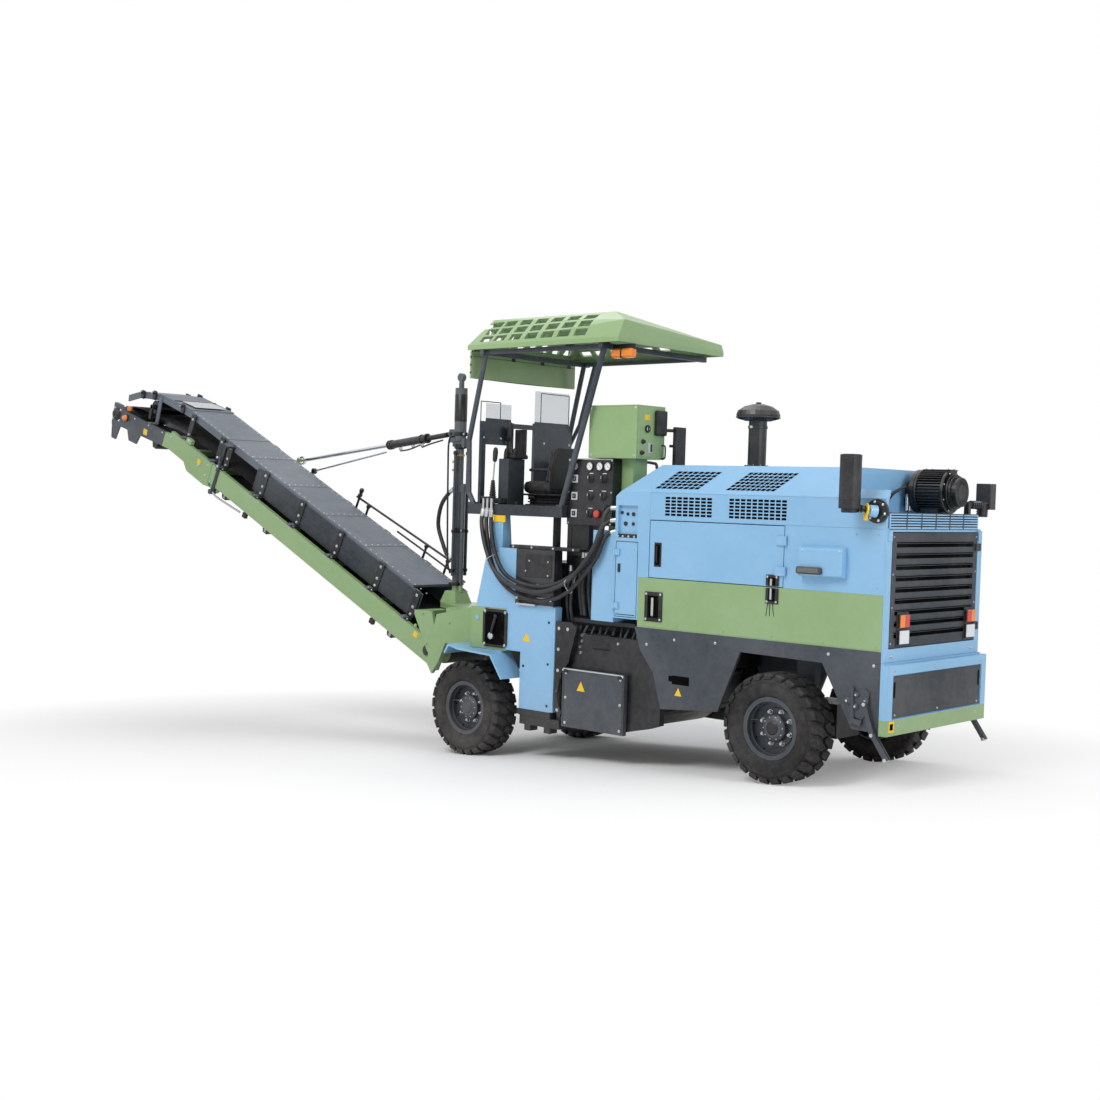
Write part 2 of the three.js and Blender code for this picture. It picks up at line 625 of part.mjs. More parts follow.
// ---------- canopy ----------
// the roof falls a little to the right
function canopyShell(inset) {
  const t = inset;
  const low = CANOPY_BOTTOM + 38 - t * 0.4;
  const corners = [
    [CANOPY_REAR + t, BODY_HALF - t, low], [CANOPY_REAR + t, t - BODY_HALF, low],
    [CANOPY_FRONT - t, BODY_HALF - t, low], [CANOPY_FRONT - t, t - BODY_HALF, low],
    [1722 + t, 640 - t, 3592 - t], [1722 + t, t - 738, 3505 - t],
    [1930 + t, 500 - t, 3684 - t], [1850 + t, t - 660, 3545 - t],
    [3372 - t, 500 - t, 3688 - t], [3380 - t, t - 640, 3548 - t],
  ];
  return toSolid(new ConvexGeometry(corners.map((c) => new THREE.Vector3(...c))));
}
function canopyRoof() {
  const t = 24;
  const lip = cut(
    block(CANOPY_REAR, CANOPY_FRONT, -BODY_HALF, BODY_HALF, CANOPY_BOTTOM, CANOPY_BOTTOM + 40),
    block(CANOPY_REAR + t, CANOPY_FRONT - t, -BODY_HALF + t, BODY_HALF - t, 3300, CANOPY_BOTTOM + 50));
  const windows = [2150, 2340, 2530, 2720, 2910, 3100, 3270].flatMap((x) => [
    ...[[-135, -62], [-38, 38], [62, 132]].map(([s0, s1]) =>
      block(x - 68, x + 68, s0, s1, -110, 110).rotate([134.3, 0, 0]).translate([0, 620, 3561])),
    block(x - 68, x + 68, -30, 30, -60, 60).rotate([50, 0, 0]).translate([0, -694, 3500])]);
  const slots = [-560, -400, -240, -80, 80, 240, 400, 540].map((y) =>
    block(3330, 3500, y - 48, y + 48, 3464, 3500 + (y + 640) * 0.122));
  return cut(join(lip, cut(canopyShell(0), canopyShell(t))), ...windows, ...slots);
}
add("canopy_roof", canopyRoof(), GREEN);

const VISOR_X = 3446;
const VISOR_Z = CANOPY_BOTTOM - 12.6;
add("canopy_visor", join(
  bar([VISOR_X, -690, VISOR_Z], [VISOR_X, 690, VISOR_Z], 12, 12),
  block(VISOR_X - 8, VISOR_X + 8, -710, 710, 3150, VISOR_Z)), GREEN);

function canopyFrame() {
  const y = 672;
  const top = CANOPY_BOTTOM - FIT;
  const posts = SIDES.map(([, s]) => join(
    bar([3460, s * y, 2100], [3475, s * y, 2600], 24, 14),
    bar([3475, s * y, 2590], [3290, s * y, top - 20], 24, 14),
    bar([3400, s * y, DECK_Z1 + 5], [3462, s * y, 2120], 24, 14)));
  posts.push(bar([2330, y, DECK_Z1 + FIT], [1900, y, top - 20], 26, 14));
  posts.push(bar([3150, -y, top - 20], [3330, -y, 2780], 20, 12));
  posts.push(bar([3326, -y, 2795], [3471, -y, 2560], 20, 12));
  const bars = [1900, 3290].map((x) => block(x - 22, x + 22, -732, 732, top - 45, top));
  bars.push(block(1900, 3290, y - 20, y + 20, top - 42, top - 6));
  bars.push(block(1900, 3290, -y - 20, 20 - y, top - 42, top - 6));
  const feet = SIDES.map(([, s]) =>
    block(3360, 3435, s * y - 28 + 0.1, s * y + 28 - 0.1, DECK_Z1 + FIT, DECK_Z1 + 14));
  feet.push(block(2303, 2370, y - 35, y + 28 - 0.1, DECK_Z1 + FIT, DECK_Z1 + 14));
  const trim = block(1000, 4000, -900, 900, 1500, DECK_Z1 + FIT);
  return cut(join(...posts, ...bars, ...feet), trim);
}
add("canopy_frame", canopyFrame(), GREY);

// ---------- loading conveyor: turret, boom, fold-down head, stays ----------
function turret() {
  const cheek = [[4040, 560], [4110, 540], [4180, 590], [4370, 935], [4370, 975], [4130, 975], [4040, 700]];
  const cheeks = [[430, 462], [-462, -430]].map(([y0, y1]) => sidePlate(cheek, y0, y1));
  const pins = SIDES.map(([, s]) =>
    bar([LIFT_X, s * (BEAM_OUT - 40), LIFT_Z], [LIFT_X, s * 450, LIFT_Z], 30, 16));
  return join(
    ...cheeks, ...pins,
    block(4200, 4370, -440, 440, 935, 975),
    bar([SWING_X, 0, 930], [SWING_X, 0, 1060], 42, 24),
    taper([4170, 4390, -110, 110, 1035 + FIT], [4210, 4350, -80, 80, 1150]),
    bar([SWING_X, 0, 1140], [SWING_X, 0, MAST_TOP], MAST_R, 20),
    bar([SWING_X, 0, MAST_TOP - 10], [SWING_X, 0, 3130], 60, 24),
    bar([SWING_X, 0, 3120], [SWING_X, 0, 3215], 26, 16),
    bar([SWING_X, -22, 3235], [SWING_X, 22, 3235], 40, 20),
    block(SWING_X - 90, SWING_X + 75, -30, 30, 2560, 2640),
    block(SWING_X + 40, SWING_X + 140, -16, 16, 2600, STAY_Z + 40),
    bar([SWING_X + STAY_REACH, -46, STAY_Z], [SWING_X + STAY_REACH, 46, STAY_Z], 16, 12),
    bar([SWING_X - 62, 0, 1140], [SWING_X - 62, 0, 2200], 22, 12),
    block(SWING_X - 90, SWING_X, -22, 22, 2120, 2190));
}
add("swing_turret", turret(), GREEN);

const boom = new THREE.Group(); // the boom's own frame: x along it, z across it
boom.position.set(LIFT_X, 0, LIFT_Z);
boom.rotation.y = -BOOM_ANGLE;
level.add(boom);

const beamY = [[BEAM_OUT - BEAM_T, BEAM_OUT], [-BEAM_OUT, -BEAM_OUT + BEAM_T]];

function boomFrame() {
  const s0 = -70;
  const s1 = FOLD_S - 3;
  const beams = beamY.map(([y0, y1]) => block(s0, s1, y0, y1, BEAM_BOTTOM, BEAM_TOP));
  const lugs = beamY.map(([y0, y1]) => join(
    block(FOLD_S - 60, FOLD_S, y0, (y0 + y1) / 2 - 1, FOLD_T - 22, BEAM_BOTTOM + 10),
    bar([FOLD_S, y0, FOLD_T], [FOLD_S, (y0 + y1) / 2 - 1, FOLD_T], 24, 16)));
  const plates = [[357, 372], [-398, -381.5]].map(([y0, y1]) => sidePlate([
    [FOLD_S - 235, -195], [FOLD_S - 180, -262], [FOLD_S - 30, -262], [FOLD_S - 4, FOLD_T],
    [FOLD_S - 4, -195]], y0, y1));
  const cross = [330, 1150, 1970, 2790, 3600].map((s) =>
    block(s - 30, s + 30, -BEAM_OUT + 5, BEAM_OUT - 5, -150, -95));
  const tail = bar([40, -BEAM_OUT + 20, -58], [40, BEAM_OUT - 20, -58], 26, 16);
  const pulley = bar([40, -BELT_HALF - 20, -58], [40, BELT_HALF + 20, -58], 109.6, 24);
  const bores = SIDES.map(([, s]) => bar([0, s * 340, 0], [0, s * 410, 0], 31.2, 16));
  const ear = SIDES.map(([, s]) => block(-70, 110, s > 0 ? 355 : -400, s > 0 ? 400 : -355, 0, 62));
  const stayLug = join(
    block(STAY_S - 60, STAY_S + 60, -BEAM_OUT - 18, -BEAM_OUT + 5, -150, STAY_T - 20),
    block(STAY_S - 24, STAY_S + 24, -BEAM_OUT - 18, -BEAM_OUT, STAY_T - 40, STAY_T + 24),
    bar([STAY_S, -BEAM_OUT - 10, STAY_T], [STAY_S, -BEAM_OUT - 120, STAY_T], 12, 12));
  return cut(join(...beams, ...lugs, ...plates, ...cross, tail, pulley, ...ear, stayLug), ...bores);
}
add("boom_frame", boomFrame(), GREEN, boom);

function boomBelt() {
  const top = 62;
  const low = -178;
  const t = 10;
  const run = join(
    block(40, FOLD_S - 4, -BELT_HALF, BELT_HALF, top - t, top),
    block(40, FOLD_S - 4, -BELT_HALF, BELT_HALF, low, low + t));
  const ring = cut(
    bar([40, -BELT_HALF, -58], [40, BELT_HALF, -58], 120, 24),
    bar([40, -BELT_HALF - 5, -58], [40, BELT_HALF + 5, -58], 110, 24),
    block(40, 400, -400, 400, -400, 400));
  return join(run, ring);
}
add("boom_belt", boomBelt(), RUBBER, boom);

// brackets that stand on the beams and carry the cover
function coverLegs(stations) {
  return stations.flatMap((s) => [[288, 300, 398], [-300, -288, -398]].map(([y0, y1, out]) => join(
    block(s, s + 60, y0, y1, BEAM_TOP + FIT, COVER_TOP - 10),
    block(s, s + 60, Math.min(y0, out), Math.max(y1, out), BEAM_TOP + FIT, BEAM_TOP + 14))));
}

const COVER_START = 520;
function boomCover() {
  const s1 = FOLD_S - DOOR_GAP;
  const half = COVER_HALF;
  const low = COVER_TOP - COVER_T;
  const skirt = [[276, 290], [-290, -276]].map(([y0, y1]) => join(
    block(COVER_START, 3050, y0, y1, BEAM_TOP + 40, low + 5),
    block(3000, s1, y0, y1, low - 50, low + 5)));
  return join(
    block(COVER_START + 150, s1, -half, half, low, COVER_TOP),
    ...skirt, ...coverLegs([560, 1150, 1850, 2550, 3250, FOLD_S - 120]));
}
add("boom_cover", boomCover(), COVER, boom);

const head = new THREE.Group(); // bent head section, drawn from its kink
head.position.set(KINK_S, 0, 0);
head.rotation.y = HEAD_DROP;

function inHead(solid) {
  return solid.rotate([0, THREE.MathUtils.radToDeg(HEAD_DROP), 0]).translate([KINK_S, 0, 0]);
}

function boomHead() {
  const beams = beamY.map(([y0, y1]) => join(
    block(FOLD_S + 3, KINK_S + 20, y0, y1, BEAM_BOTTOM, BEAM_TOP),
    inHead(sidePlate([[-40, -196], [HEAD_LENGTH - 100, -220], [HEAD_LENGTH + 90, -230],
      [HEAD_LENGTH + 90, 30], [HEAD_LENGTH - 40, 30], [HEAD_LENGTH - 120, HEAD_BEAM_TOP],
      [70, HEAD_BEAM_TOP], [-20, 6]], y0, y1))));
  const plates = [[378, 398], [-375.5, -357]].map(([y0, y1]) => sidePlate([
    [FOLD_S + 3, -195], [FOLD_S + 8, FOLD_T - 20], [FOLD_S + 60, -272], [FOLD_S + 430, -272],
    [FOLD_S + 540, -195]], y0, y1));
  const drops = [[378, 398], [-398, -378]].map(([y0, y1]) => inHead(sidePlate([
    [640, -190], [700, -330], [860, -330], [940, -190]], y0, y1)));
  const hangers = [[378, 398], [-398, -378]].map(([y0, y1]) => inHead(sidePlate([
    [1090, -200], [1150, -395], [1235, -395], [HEAD_LENGTH + 88, -200]], y0, y1)));
  const lugs = beamY.map(([y0, y1]) => join(
    block(FOLD_S, FOLD_S + 60, (y0 + y1) / 2 + 1, y1, FOLD_T - 22, BEAM_BOTTOM + 10),
    bar([FOLD_S, (y0 + y1) / 2 + 1, FOLD_T], [FOLD_S, y1, FOLD_T], 24, 16)));
  const cross = [4200, 4700].map((s) => block(s - 30, s + 30, -BEAM_OUT + 5, BEAM_OUT - 5, -150, -95));
  const shaft = inHead(bar([HEAD_LENGTH, -BEAM_OUT + 10, -95], [HEAD_LENGTH, BEAM_OUT - 10, -95], 30, 16));
  const pulley = inHead(
    bar([HEAD_LENGTH, -BELT_HALF - 20, -95], [HEAD_LENGTH, BELT_HALF + 20, -95], 97.6, 24));
  return join(...beams, ...lugs, ...plates, ...drops, ...hangers, ...cross, shaft, pulley);
}
add("boom_head", boomHead(), GREY, boom);

function headBelt() {
  const t = 10;
  const y = BELT_HALF;
  const straight = (z) => block(FOLD_S + 4, KINK_S + 6, -y, y, z, z + t);
  const bent = (z) => inHead(block(-6, HEAD_LENGTH, -y, y, z, z + t));
  const ring = inHead(cut(
    bar([HEAD_LENGTH, -y, -95], [HEAD_LENGTH, y, -95], 107, 24),
    bar([HEAD_LENGTH, -y - 5, -95], [HEAD_LENGTH, y + 5, -95], 98, 24),
    block(HEAD_LENGTH - 400, HEAD_LENGTH, -400, 400, -400, 400)));
  const riser = inHead(sidePlate([[HEAD_LENGTH - 300, 52], [HEAD_LENGTH - 300, 62], [HEAD_LENGTH + 5, 12],
    [HEAD_LENGTH + 5, 3]], -y, y));
  const fall = inHead(sidePlate([[HEAD_LENGTH - 300, -178], [HEAD_LENGTH - 300, -168],
    [HEAD_LENGTH + 5, -194], [HEAD_LENGTH + 5, -201.5]], -y, y));
  const keep = inHead(block(HEAD_LENGTH - 290, HEAD_LENGTH + 100, -400, 400, -400, 400));
  return join(cut(join(straight(52), straight(-178), bent(52), bent(-178)), keep), riser, fall, ring);
}
add("head_belt", headBelt(), RUBBER, boom);

function headCover() {
  const s0 = FOLD_S + DOOR_GAP;
  const half = COVER_HALF;
  const bend = KINK_S - 85;
  const ribbon = (top, depth, y0, y1) => join(
    sidePlate([[s0, top - depth], [bend, top - depth], [bend + 8, top], [s0, top]], y0, y1),
    inHead(sidePlate([[-150, top - depth - 20], [510, top - depth + 10], [915, top - depth - 58],
      [1172, top - depth - 170], [1180, top - 170], [920, top - 58], [512, top + 10], [-130, top - 4]],
    y0, y1)));
  const skirt = [[276, 290], [-290, -276]].map(([y0, y1]) =>
    ribbon(COVER_TOP - COVER_T + 5, 55, y0, y1));
  const legs = [[288, 300, 398], [-300, -288, -398]].map(([y0, y1, out]) => inHead(join(
    block(470, 530, y0, y1, HEAD_BEAM_TOP + FIT, 300),
    block(470, 530, Math.min(y0, out), Math.max(y1, out), HEAD_BEAM_TOP + FIT, HEAD_BEAM_TOP + 14))));
  return join(ribbon(COVER_TOP, COVER_T, -half, half), ...skirt,
    ...coverLegs([FOLD_S + 60, KINK_S - 190]), ...legs);
}
add("head_cover", headCover(), COVER, boom);

// stay: a telescoping link from the mast head to the far side of the boom
const stayEye = new THREE.Vector3(STAY_S, STAY_Y, STAY_T).applyAxisAngle(
  new THREE.Vector3(0, 1, 0), -BOOM_ANGLE).add(boom.position);
const stayRoot = new THREE.Vector3(SWING_X + STAY_REACH, -31, STAY_Z);
const STAY_LENGTH = stayEye.distanceTo(stayRoot);
const stayDir = stayEye.clone().sub(stayRoot).normalize();
const stayPoint = (d) => stayRoot.clone().addScaledVector(stayDir, d).toArray();
add("stay_barrel", cut(
  join(
    bar(stayPoint(30), stayPoint(160), 11, 12),
    bar(stayPoint(120), stayPoint(1150), 26, 16),
    bar(stayPoint(480), stayPoint(1150), 42, 20),
    bar([stayRoot.x, -43, stayRoot.z], [stayRoot.x, -19, stayRoot.z], 34, 18)),
  bar([stayRoot.x, -60, stayRoot.z], [stayRoot.x, 0, stayRoot.z], 17.2, 16),
  bar(stayPoint(385), stayPoint(1300), 20.8, 16)), BLACK);
add("stay_rod", cut(
  join(
    bar(stayPoint(600), stayPoint(STAY_LENGTH - 42), 20, 16),
    bar([stayEye.x, stayEye.y - 16, stayEye.z], [stayEye.x, stayEye.y + 14, stayEye.z], 47, 20)),
  bar([stayEye.x, stayEye.y - 60, stayEye.z], [stayEye.x, stayEye.y + 60, stayEye.z], 33, 18)), BLACK);

level.position.set(0, 0, 0);
level.rotation.y = -NOSE_UP;
// turn about the rear wheels' centre, then set the origin under the middle of the machine
const pivot = new THREE.Vector3(0, 0, TYRE_R);
level.position.copy(pivot).sub(pivot.clone().applyAxisAngle(new THREE.Vector3(0, 1, 0), -NOSE_UP));
machine.updateMatrixWorld(true);
const extent = new THREE.Box3().setFromObject(machine, true);
machine.position.x = -(extent.min.x + extent.max.x) / 2;

export default machine;
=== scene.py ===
"""Looks of the wheeled cold planer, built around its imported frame."""
import math
import random
from itertools import product

import bmesh
import bpy
from mathutils import Matrix, Vector


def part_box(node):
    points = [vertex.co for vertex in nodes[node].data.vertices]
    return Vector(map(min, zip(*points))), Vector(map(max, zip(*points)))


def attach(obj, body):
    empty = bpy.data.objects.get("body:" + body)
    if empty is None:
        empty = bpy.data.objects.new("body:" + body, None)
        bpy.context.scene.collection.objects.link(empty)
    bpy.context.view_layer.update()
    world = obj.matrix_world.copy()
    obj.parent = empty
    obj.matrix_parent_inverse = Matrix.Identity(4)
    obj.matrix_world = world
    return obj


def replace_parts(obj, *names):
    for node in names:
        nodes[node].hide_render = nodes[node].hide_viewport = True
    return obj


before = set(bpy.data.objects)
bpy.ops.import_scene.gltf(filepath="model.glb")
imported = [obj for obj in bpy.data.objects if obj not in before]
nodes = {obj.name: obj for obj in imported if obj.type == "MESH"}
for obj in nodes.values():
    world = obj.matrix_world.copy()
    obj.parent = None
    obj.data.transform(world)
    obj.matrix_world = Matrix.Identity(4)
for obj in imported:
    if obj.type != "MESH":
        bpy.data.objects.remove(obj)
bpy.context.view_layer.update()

# ---------- frames ----------
TILT = math.radians(3.97)  # the body stands nose up
TYRE_R = 0.42
BOOM_ANGLE = math.radians(24.8)
HEAD_DROP = math.radians(9.0)


def turn_y(angle):
    return Matrix.Rotation(angle, 4, "Y")


def middle(node):
    lo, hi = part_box(node)
    return (Vector(lo) + Vector(hi)) / 2


SHIFT = middle("rear_tyre_left").x
LEVEL = (Matrix.Translation((SHIFT, 0, TYRE_R)) @ turn_y(-TILT)
         @ Matrix.Translation((0, 0, -TYRE_R)))
BOOM = LEVEL @ Matrix.Translation((4.1, 0, 0.62)) @ turn_y(-BOOM_ANGLE)
HEAD = BOOM @ Matrix.Translation((4.95, 0, 0)) @ turn_y(HEAD_DROP)
LEVEL_Z = LEVEL.inverted()[2]  # row of the matrix that gives the level height
LEVEL_X = LEVEL.inverted()[0]
BOOM_X = BOOM.inverted()[0]
SIDES = ((1, "left"), (-1, "right"))


# ---------- materials ----------
def linear(rgb):
    """Screen colour from 0 to 255 as a linear colour with alpha, by the sRGB curve."""
    return tuple(((c / 255 + 0.055) / 1.055) ** 2.4 if c > 10.3 else c / 3294.6 for c in rgb) + (1.0,)


class Nodes:
    """Adds linked shader nodes in one call each."""

    def __init__(self, name):
        self.mat = bpy.data.materials.new(name)
        self.mat.use_nodes = True
        self.tree = self.mat.node_tree
        self.bsdf = self.tree.nodes["Principled BSDF"]
        self.obj = self.tree.nodes.new("ShaderNodeTexCoord").outputs["Object"]

    def feed(self, n, k, v):
        """Links a socket to input k of node n, or sets its value."""
        if isinstance(v, bpy.types.NodeSocket):
            self.tree.links.new(v, n.inputs[k])
        else:
            n.inputs[k].default_value = v

    def node(self, kind, inputs=(), **settings):
        n = self.tree.nodes.new("ShaderNode" + kind)
        for k, v in settings.items():
            setattr(n, k, v)
        for k, v in dict(inputs).items():
            self.feed(n, k, v)
        return n

    def noise(self, scale, detail=4.0, rough=0.6, vector=None):
        n = self.node("TexNoise", {"Vector": vector or self.obj, "Scale": scale, "Detail": detail,
                                   "Roughness": rough})
        return n.outputs["Fac"]

    def ramp(self, value, a, b, c=0.0, d=1.0):
        n = self.node("MapRange", {"Value": value, "From Min": a, "From Max": b, "To Min": c, "To Max": d})
        return n.outputs["Result"]

    def maths(self, op, a, b=0.0):
        return self.node("Math", {0: a, 1: b}, operation=op).outputs[0]

    def times(self, a, *others):
        for b in others:
            a = self.maths("MULTIPLY", a, b)
        return a

    def mix(self, fac, a, b):
        return self.node("Mix", {0: fac, 6: a, 7: b}, data_type="RGBA").outputs[2]

    def along(self, row):
        """Distance of a point along one axis of a frame."""
        dot = self.node("VectorMath", {0: self.obj, 1: tuple(row[:3])}, operation="DOT_PRODUCT")
        return self.maths("ADD", dot.outputs["Value"], row[3])

    def link(self, value, socket):
        self.tree.links.new(value, self.bsdf.inputs[socket])


def above(row, at):
    return lambda m: m.ramp(m.along(row), at - 0.0005, at + 0.0005)


def below(row, at):
    return lambda m: m.ramp(m.along(row), at - 0.0005, at + 0.0005, 1.0, 0.0)


def both(a, b):
    return lambda m: m.times(a(m), b(m))


DUST_COLOUR = (128, 120, 108)
DUST_TOP = 1.05  # height over the floor where road dust ends
FLECK_COLOUR = (150, 146, 138)
CLEARNESS = 0.72


def surface(name, colour, rough=0.45, metal=0.0, vary=0.07, grain=0.05, grain_scale=380.0, dust=0.25,
            wear=0.35, wear_colour=(150, 150, 148), coat=0.0, edge=0.004, zones=(), spec=0.5, fleck=0.0,
            clear=None):
    """Paint, rubber or metal with uneven colour, worn edges, dust low down and a fine grain."""
    m = Nodes(name)
    base = linear(colour)
    for pick, other in zones:
        base = m.mix(pick(m), base, linear(other))
    cloud = m.noise(0.9, 3.0)
    fine = m.noise(17.0, 6.0, 0.7)
    shade = m.maths("ADD", m.ramp(cloud, 0.3, 0.7, -vary, vary),
                    m.ramp(fine, 0.3, 0.7, -vary / 2, vary / 2))
    light = m.node("BrightContrast", {"Color": base, "Bright": m.times(shade, 0.35), "Contrast": 0.0})
    colour_out = light.outputs["Color"]
    if fleck:
        spots = m.ramp(m.noise(90.0, 8.0, 0.8), 0.62, 0.70)
        colour_out = m.mix(m.times(spots, fleck), colour_out, linear(FLECK_COLOUR))
    geo = m.tree.nodes.new("ShaderNodeNewGeometry")
    round_n = m.node("Bevel", {"Radius": edge}, samples=4)
    if wear:
        edge_dot = m.node("VectorMath", {0: round_n.outputs[0], 1: geo.outputs["Normal"]},
                          operation="DOT_PRODUCT")
        rim = m.ramp(edge_dot.outputs["Value"], 0.97, 0.85)
        rub = m.ramp(m.noise(28.0, 5.0, 0.75), 0.5, 0.62)
        colour_out = m.mix(m.times(rim, rub, wear), colour_out, linear(wear_colour))
    if dust:
        low = m.ramp(m.along(LEVEL_Z), DUST_TOP, 0.0)
        patch = m.ramp(m.noise(4.0, 7.0, 0.7), 0.35, 0.75)
        colour_out = m.mix(m.times(low, patch, dust), colour_out, linear(DUST_COLOUR))
    m.link(colour_out, "Base Color")
    m.link(m.ramp(m.noise(6.0, 6.0, 0.65), 0.3, 0.7, max(rough - 0.07, 0.03), min(rough + 0.09, 1.0)),
           "Roughness")
    bump = m.node("Bump", {"Strength": grain, "Distance": 0.002, "Height": m.noise(grain_scale, 2.0, 0.5),
                           "Normal": round_n.outputs[0]})
    m.link(bump.outputs[0], "Normal")
    m.bsdf.inputs["Metallic"].default_value = metal
    m.bsdf.inputs["Specular IOR Level"].default_value = spec
    if coat:
        m.bsdf.inputs["Coat Weight"].default_value = coat
        m.bsdf.inputs["Coat Roughness"].default_value = 0.12
    if clear:
        m.link(m.maths("SUBTRACT", 1.0, m.times(clear(m), CLEARNESS)), "Alpha")
    return m.mat


def fitting(name, colour, rough, edge=0.001, wear=0.0, dust=0.0, **more):
    """Look of a small clean part."""
    return surface(name, colour, rough, edge=edge, wear=wear, dust=dust, **more)


GREEN = (141, 170, 121)
SLATE = (62, 68, 77)
PALE_BLUE = (136, 184, 221)
BLUE = surface("paint_blue", PALE_BLUE, 0.36, coat=0.3)
SAGE = surface("paint_green", GREEN, 0.38, coat=0.25)
GREY = surface("paint_grey", SLATE, 0.48, dust=0.3)
DEEP = surface("paint_deep_grey", (49, 54, 60), 0.5, dust=0.25)
BLACK = surface("paint_black", (25, 26, 29), 0.36, dust=0.06, wear=0.3, wear_colour=(110, 110, 112))
COVER = surface("cover_grey", (100, 108, 118), 0.5, grain=0.1, grain_scale=120.0, vary=0.09)
BUMPER = surface("paint_bumper", GREEN, 0.4, zones=((above(LEVEL_Z, 0.578), PALE_BLUE),))
TIP = surface("paint_boom_tip", GREEN, 0.45, zones=((above(BOOM_X, 5.08), (66, 72, 80)),))
SUPPORT = surface("paint_deck_support", PALE_BLUE, 0.36, coat=0.3,
                  zones=((both(above(LEVEL_Z, 1.16), below(LEVEL_X, 2.78)), (34, 36, 40)),
                         (below(LEVEL_Z, 0.245), (34, 36, 40))))
BOARD = surface("console_board", SLATE, 0.3, clear=above(LEVEL_Z, 2.80), dust=0.0,
                zones=((above(LEVEL_Z, 2.80), (150, 168, 186)),))
MAST = surface("paint_mast", GREEN, 0.4, zones=((above(LEVEL_Z, 1.20), (88, 93, 99)),))
CABINET = surface("paint_cabinet", GREEN, 0.4, zones=((below(LEVEL_X, 1.565), (28, 29, 31)),))
RUBBER = surface("tyre_rubber", (28, 28, 29), 0.62, vary=0.1, grain=0.25, grain_scale=160.0, dust=0.16,
                 wear=0.0, spec=0.4, fleck=0.06)
BELT = surface("belt_rubber", (38, 38, 39), 0.8, grain=0.2, grain_scale=90.0, wear=0.0, spec=0.3,
               fleck=0.25)
HOSE = surface("hose_rubber", (28, 28, 30), 0.5, grain=0.3, grain_scale=420.0, wear=0.0, dust=0.1,
               edge=0.001)
STEEL = surface("cutter_steel", (120, 116, 110), 0.5, metal=0.85, vary=0.25, grain=0.3, grain_scale=70.0,
                wear=0.5, wear_colour=(190, 186, 178), fleck=0.3)
ZINC = fitting("zinc", (196, 198, 200), 0.3, metal=0.9, vary=0.1, dust=0.1)
CHROME = fitting("rod_chrome", (214, 216, 220), 0.12, metal=1.0, vary=0.03, grain=0.02)
BRASS = fitting("brass", (206, 160, 84), 0.3, metal=0.9)
SLOT = fitting("slot_shadow", (9, 9, 10), 0.9, grain=0.1, spec=0.1)
RED = fitting("lens_red", (206, 44, 26), 0.15, grain=0.6, grain_scale=240.0, coat=0.6)
AMBER = fitting("lens_amber", (236, 132, 24), 0.15, grain=0.6, grain_scale=240.0, coat=0.6)
CLEAR = fitting("lens_clear", (222, 226, 230), 0.1, grain=0.8, grain_scale=200.0, coat=0.8)
YELLOW = fitting("blank_yellow", (240, 196, 40), 0.4, grain=0.03, wear=0.2, dust=0.1)
WHITE = fitting("dial_white", (232, 234, 232), 0.3, grain=0.02)
PLASTIC = fitting("black_plastic", (30, 30, 32), 0.55, grain=0.35, grain_scale=520.0, edge=0.002)
SEAT = fitting("seat_vinyl", (34, 34, 36), 0.6, grain=0.5, grain_scale=300.0, edge=0.004)
PALE = surface("pale_flap", (190, 192, 194), 0.5, dust=0.1)
HANDLE = surface("handle_grey", (104, 100, 96), 0.6, grain=0.3, grain_scale=300.0, wear=0.0, dust=0.0)

NODE_LOOKS = {  # SIDE stands for left and right
    BLUE: "front_fender_SIDE engine_hood front_cowl engine_door_SIDE service_door_SIDE rear_frame "
          "hydraulic_tank",
    SUPPORT: "deck_support_SIDE",
    MAST: "swing_turret",
    BOARD: "front_console",
    CABINET: "control_cabinet",
    SAGE: "front_frame lower_panel_SIDE canopy_roof canopy_visor boom_frame",
    GREY: "chassis_frame rear_rim_SIDE front_rim_SIDE drum_side_plate_SIDE canopy_frame",
    DEEP: "steering_knuckle_SIDE scraper_gate primary_conveyor engine_block rear_grille_door operator_deck",
    BLACK: "rear_axle drum_housing radiator fan_motor air_stack rear_lamp_SIDE pump_unit operator_seat "
           "instrument_panel stay_barrel",
    COVER: "boom_cover head_cover",
    RUBBER: "rear_tyre_SIDE front_tyre_SIDE",
    BELT: "boom_belt head_belt",
    STEEL: "milling_drum",
    CHROME: "stay_rod",
    BUMPER: "rear_bumper",
    TIP: "boom_head",
}
for look, names in NODE_LOOKS.items():
    for name in names.split():
        for node in sorted({name.replace("SIDE", side) for s, side in SIDES}):
            mesh = nodes[node].data
            mesh.materials.clear()
            mesh.materials.append(look)


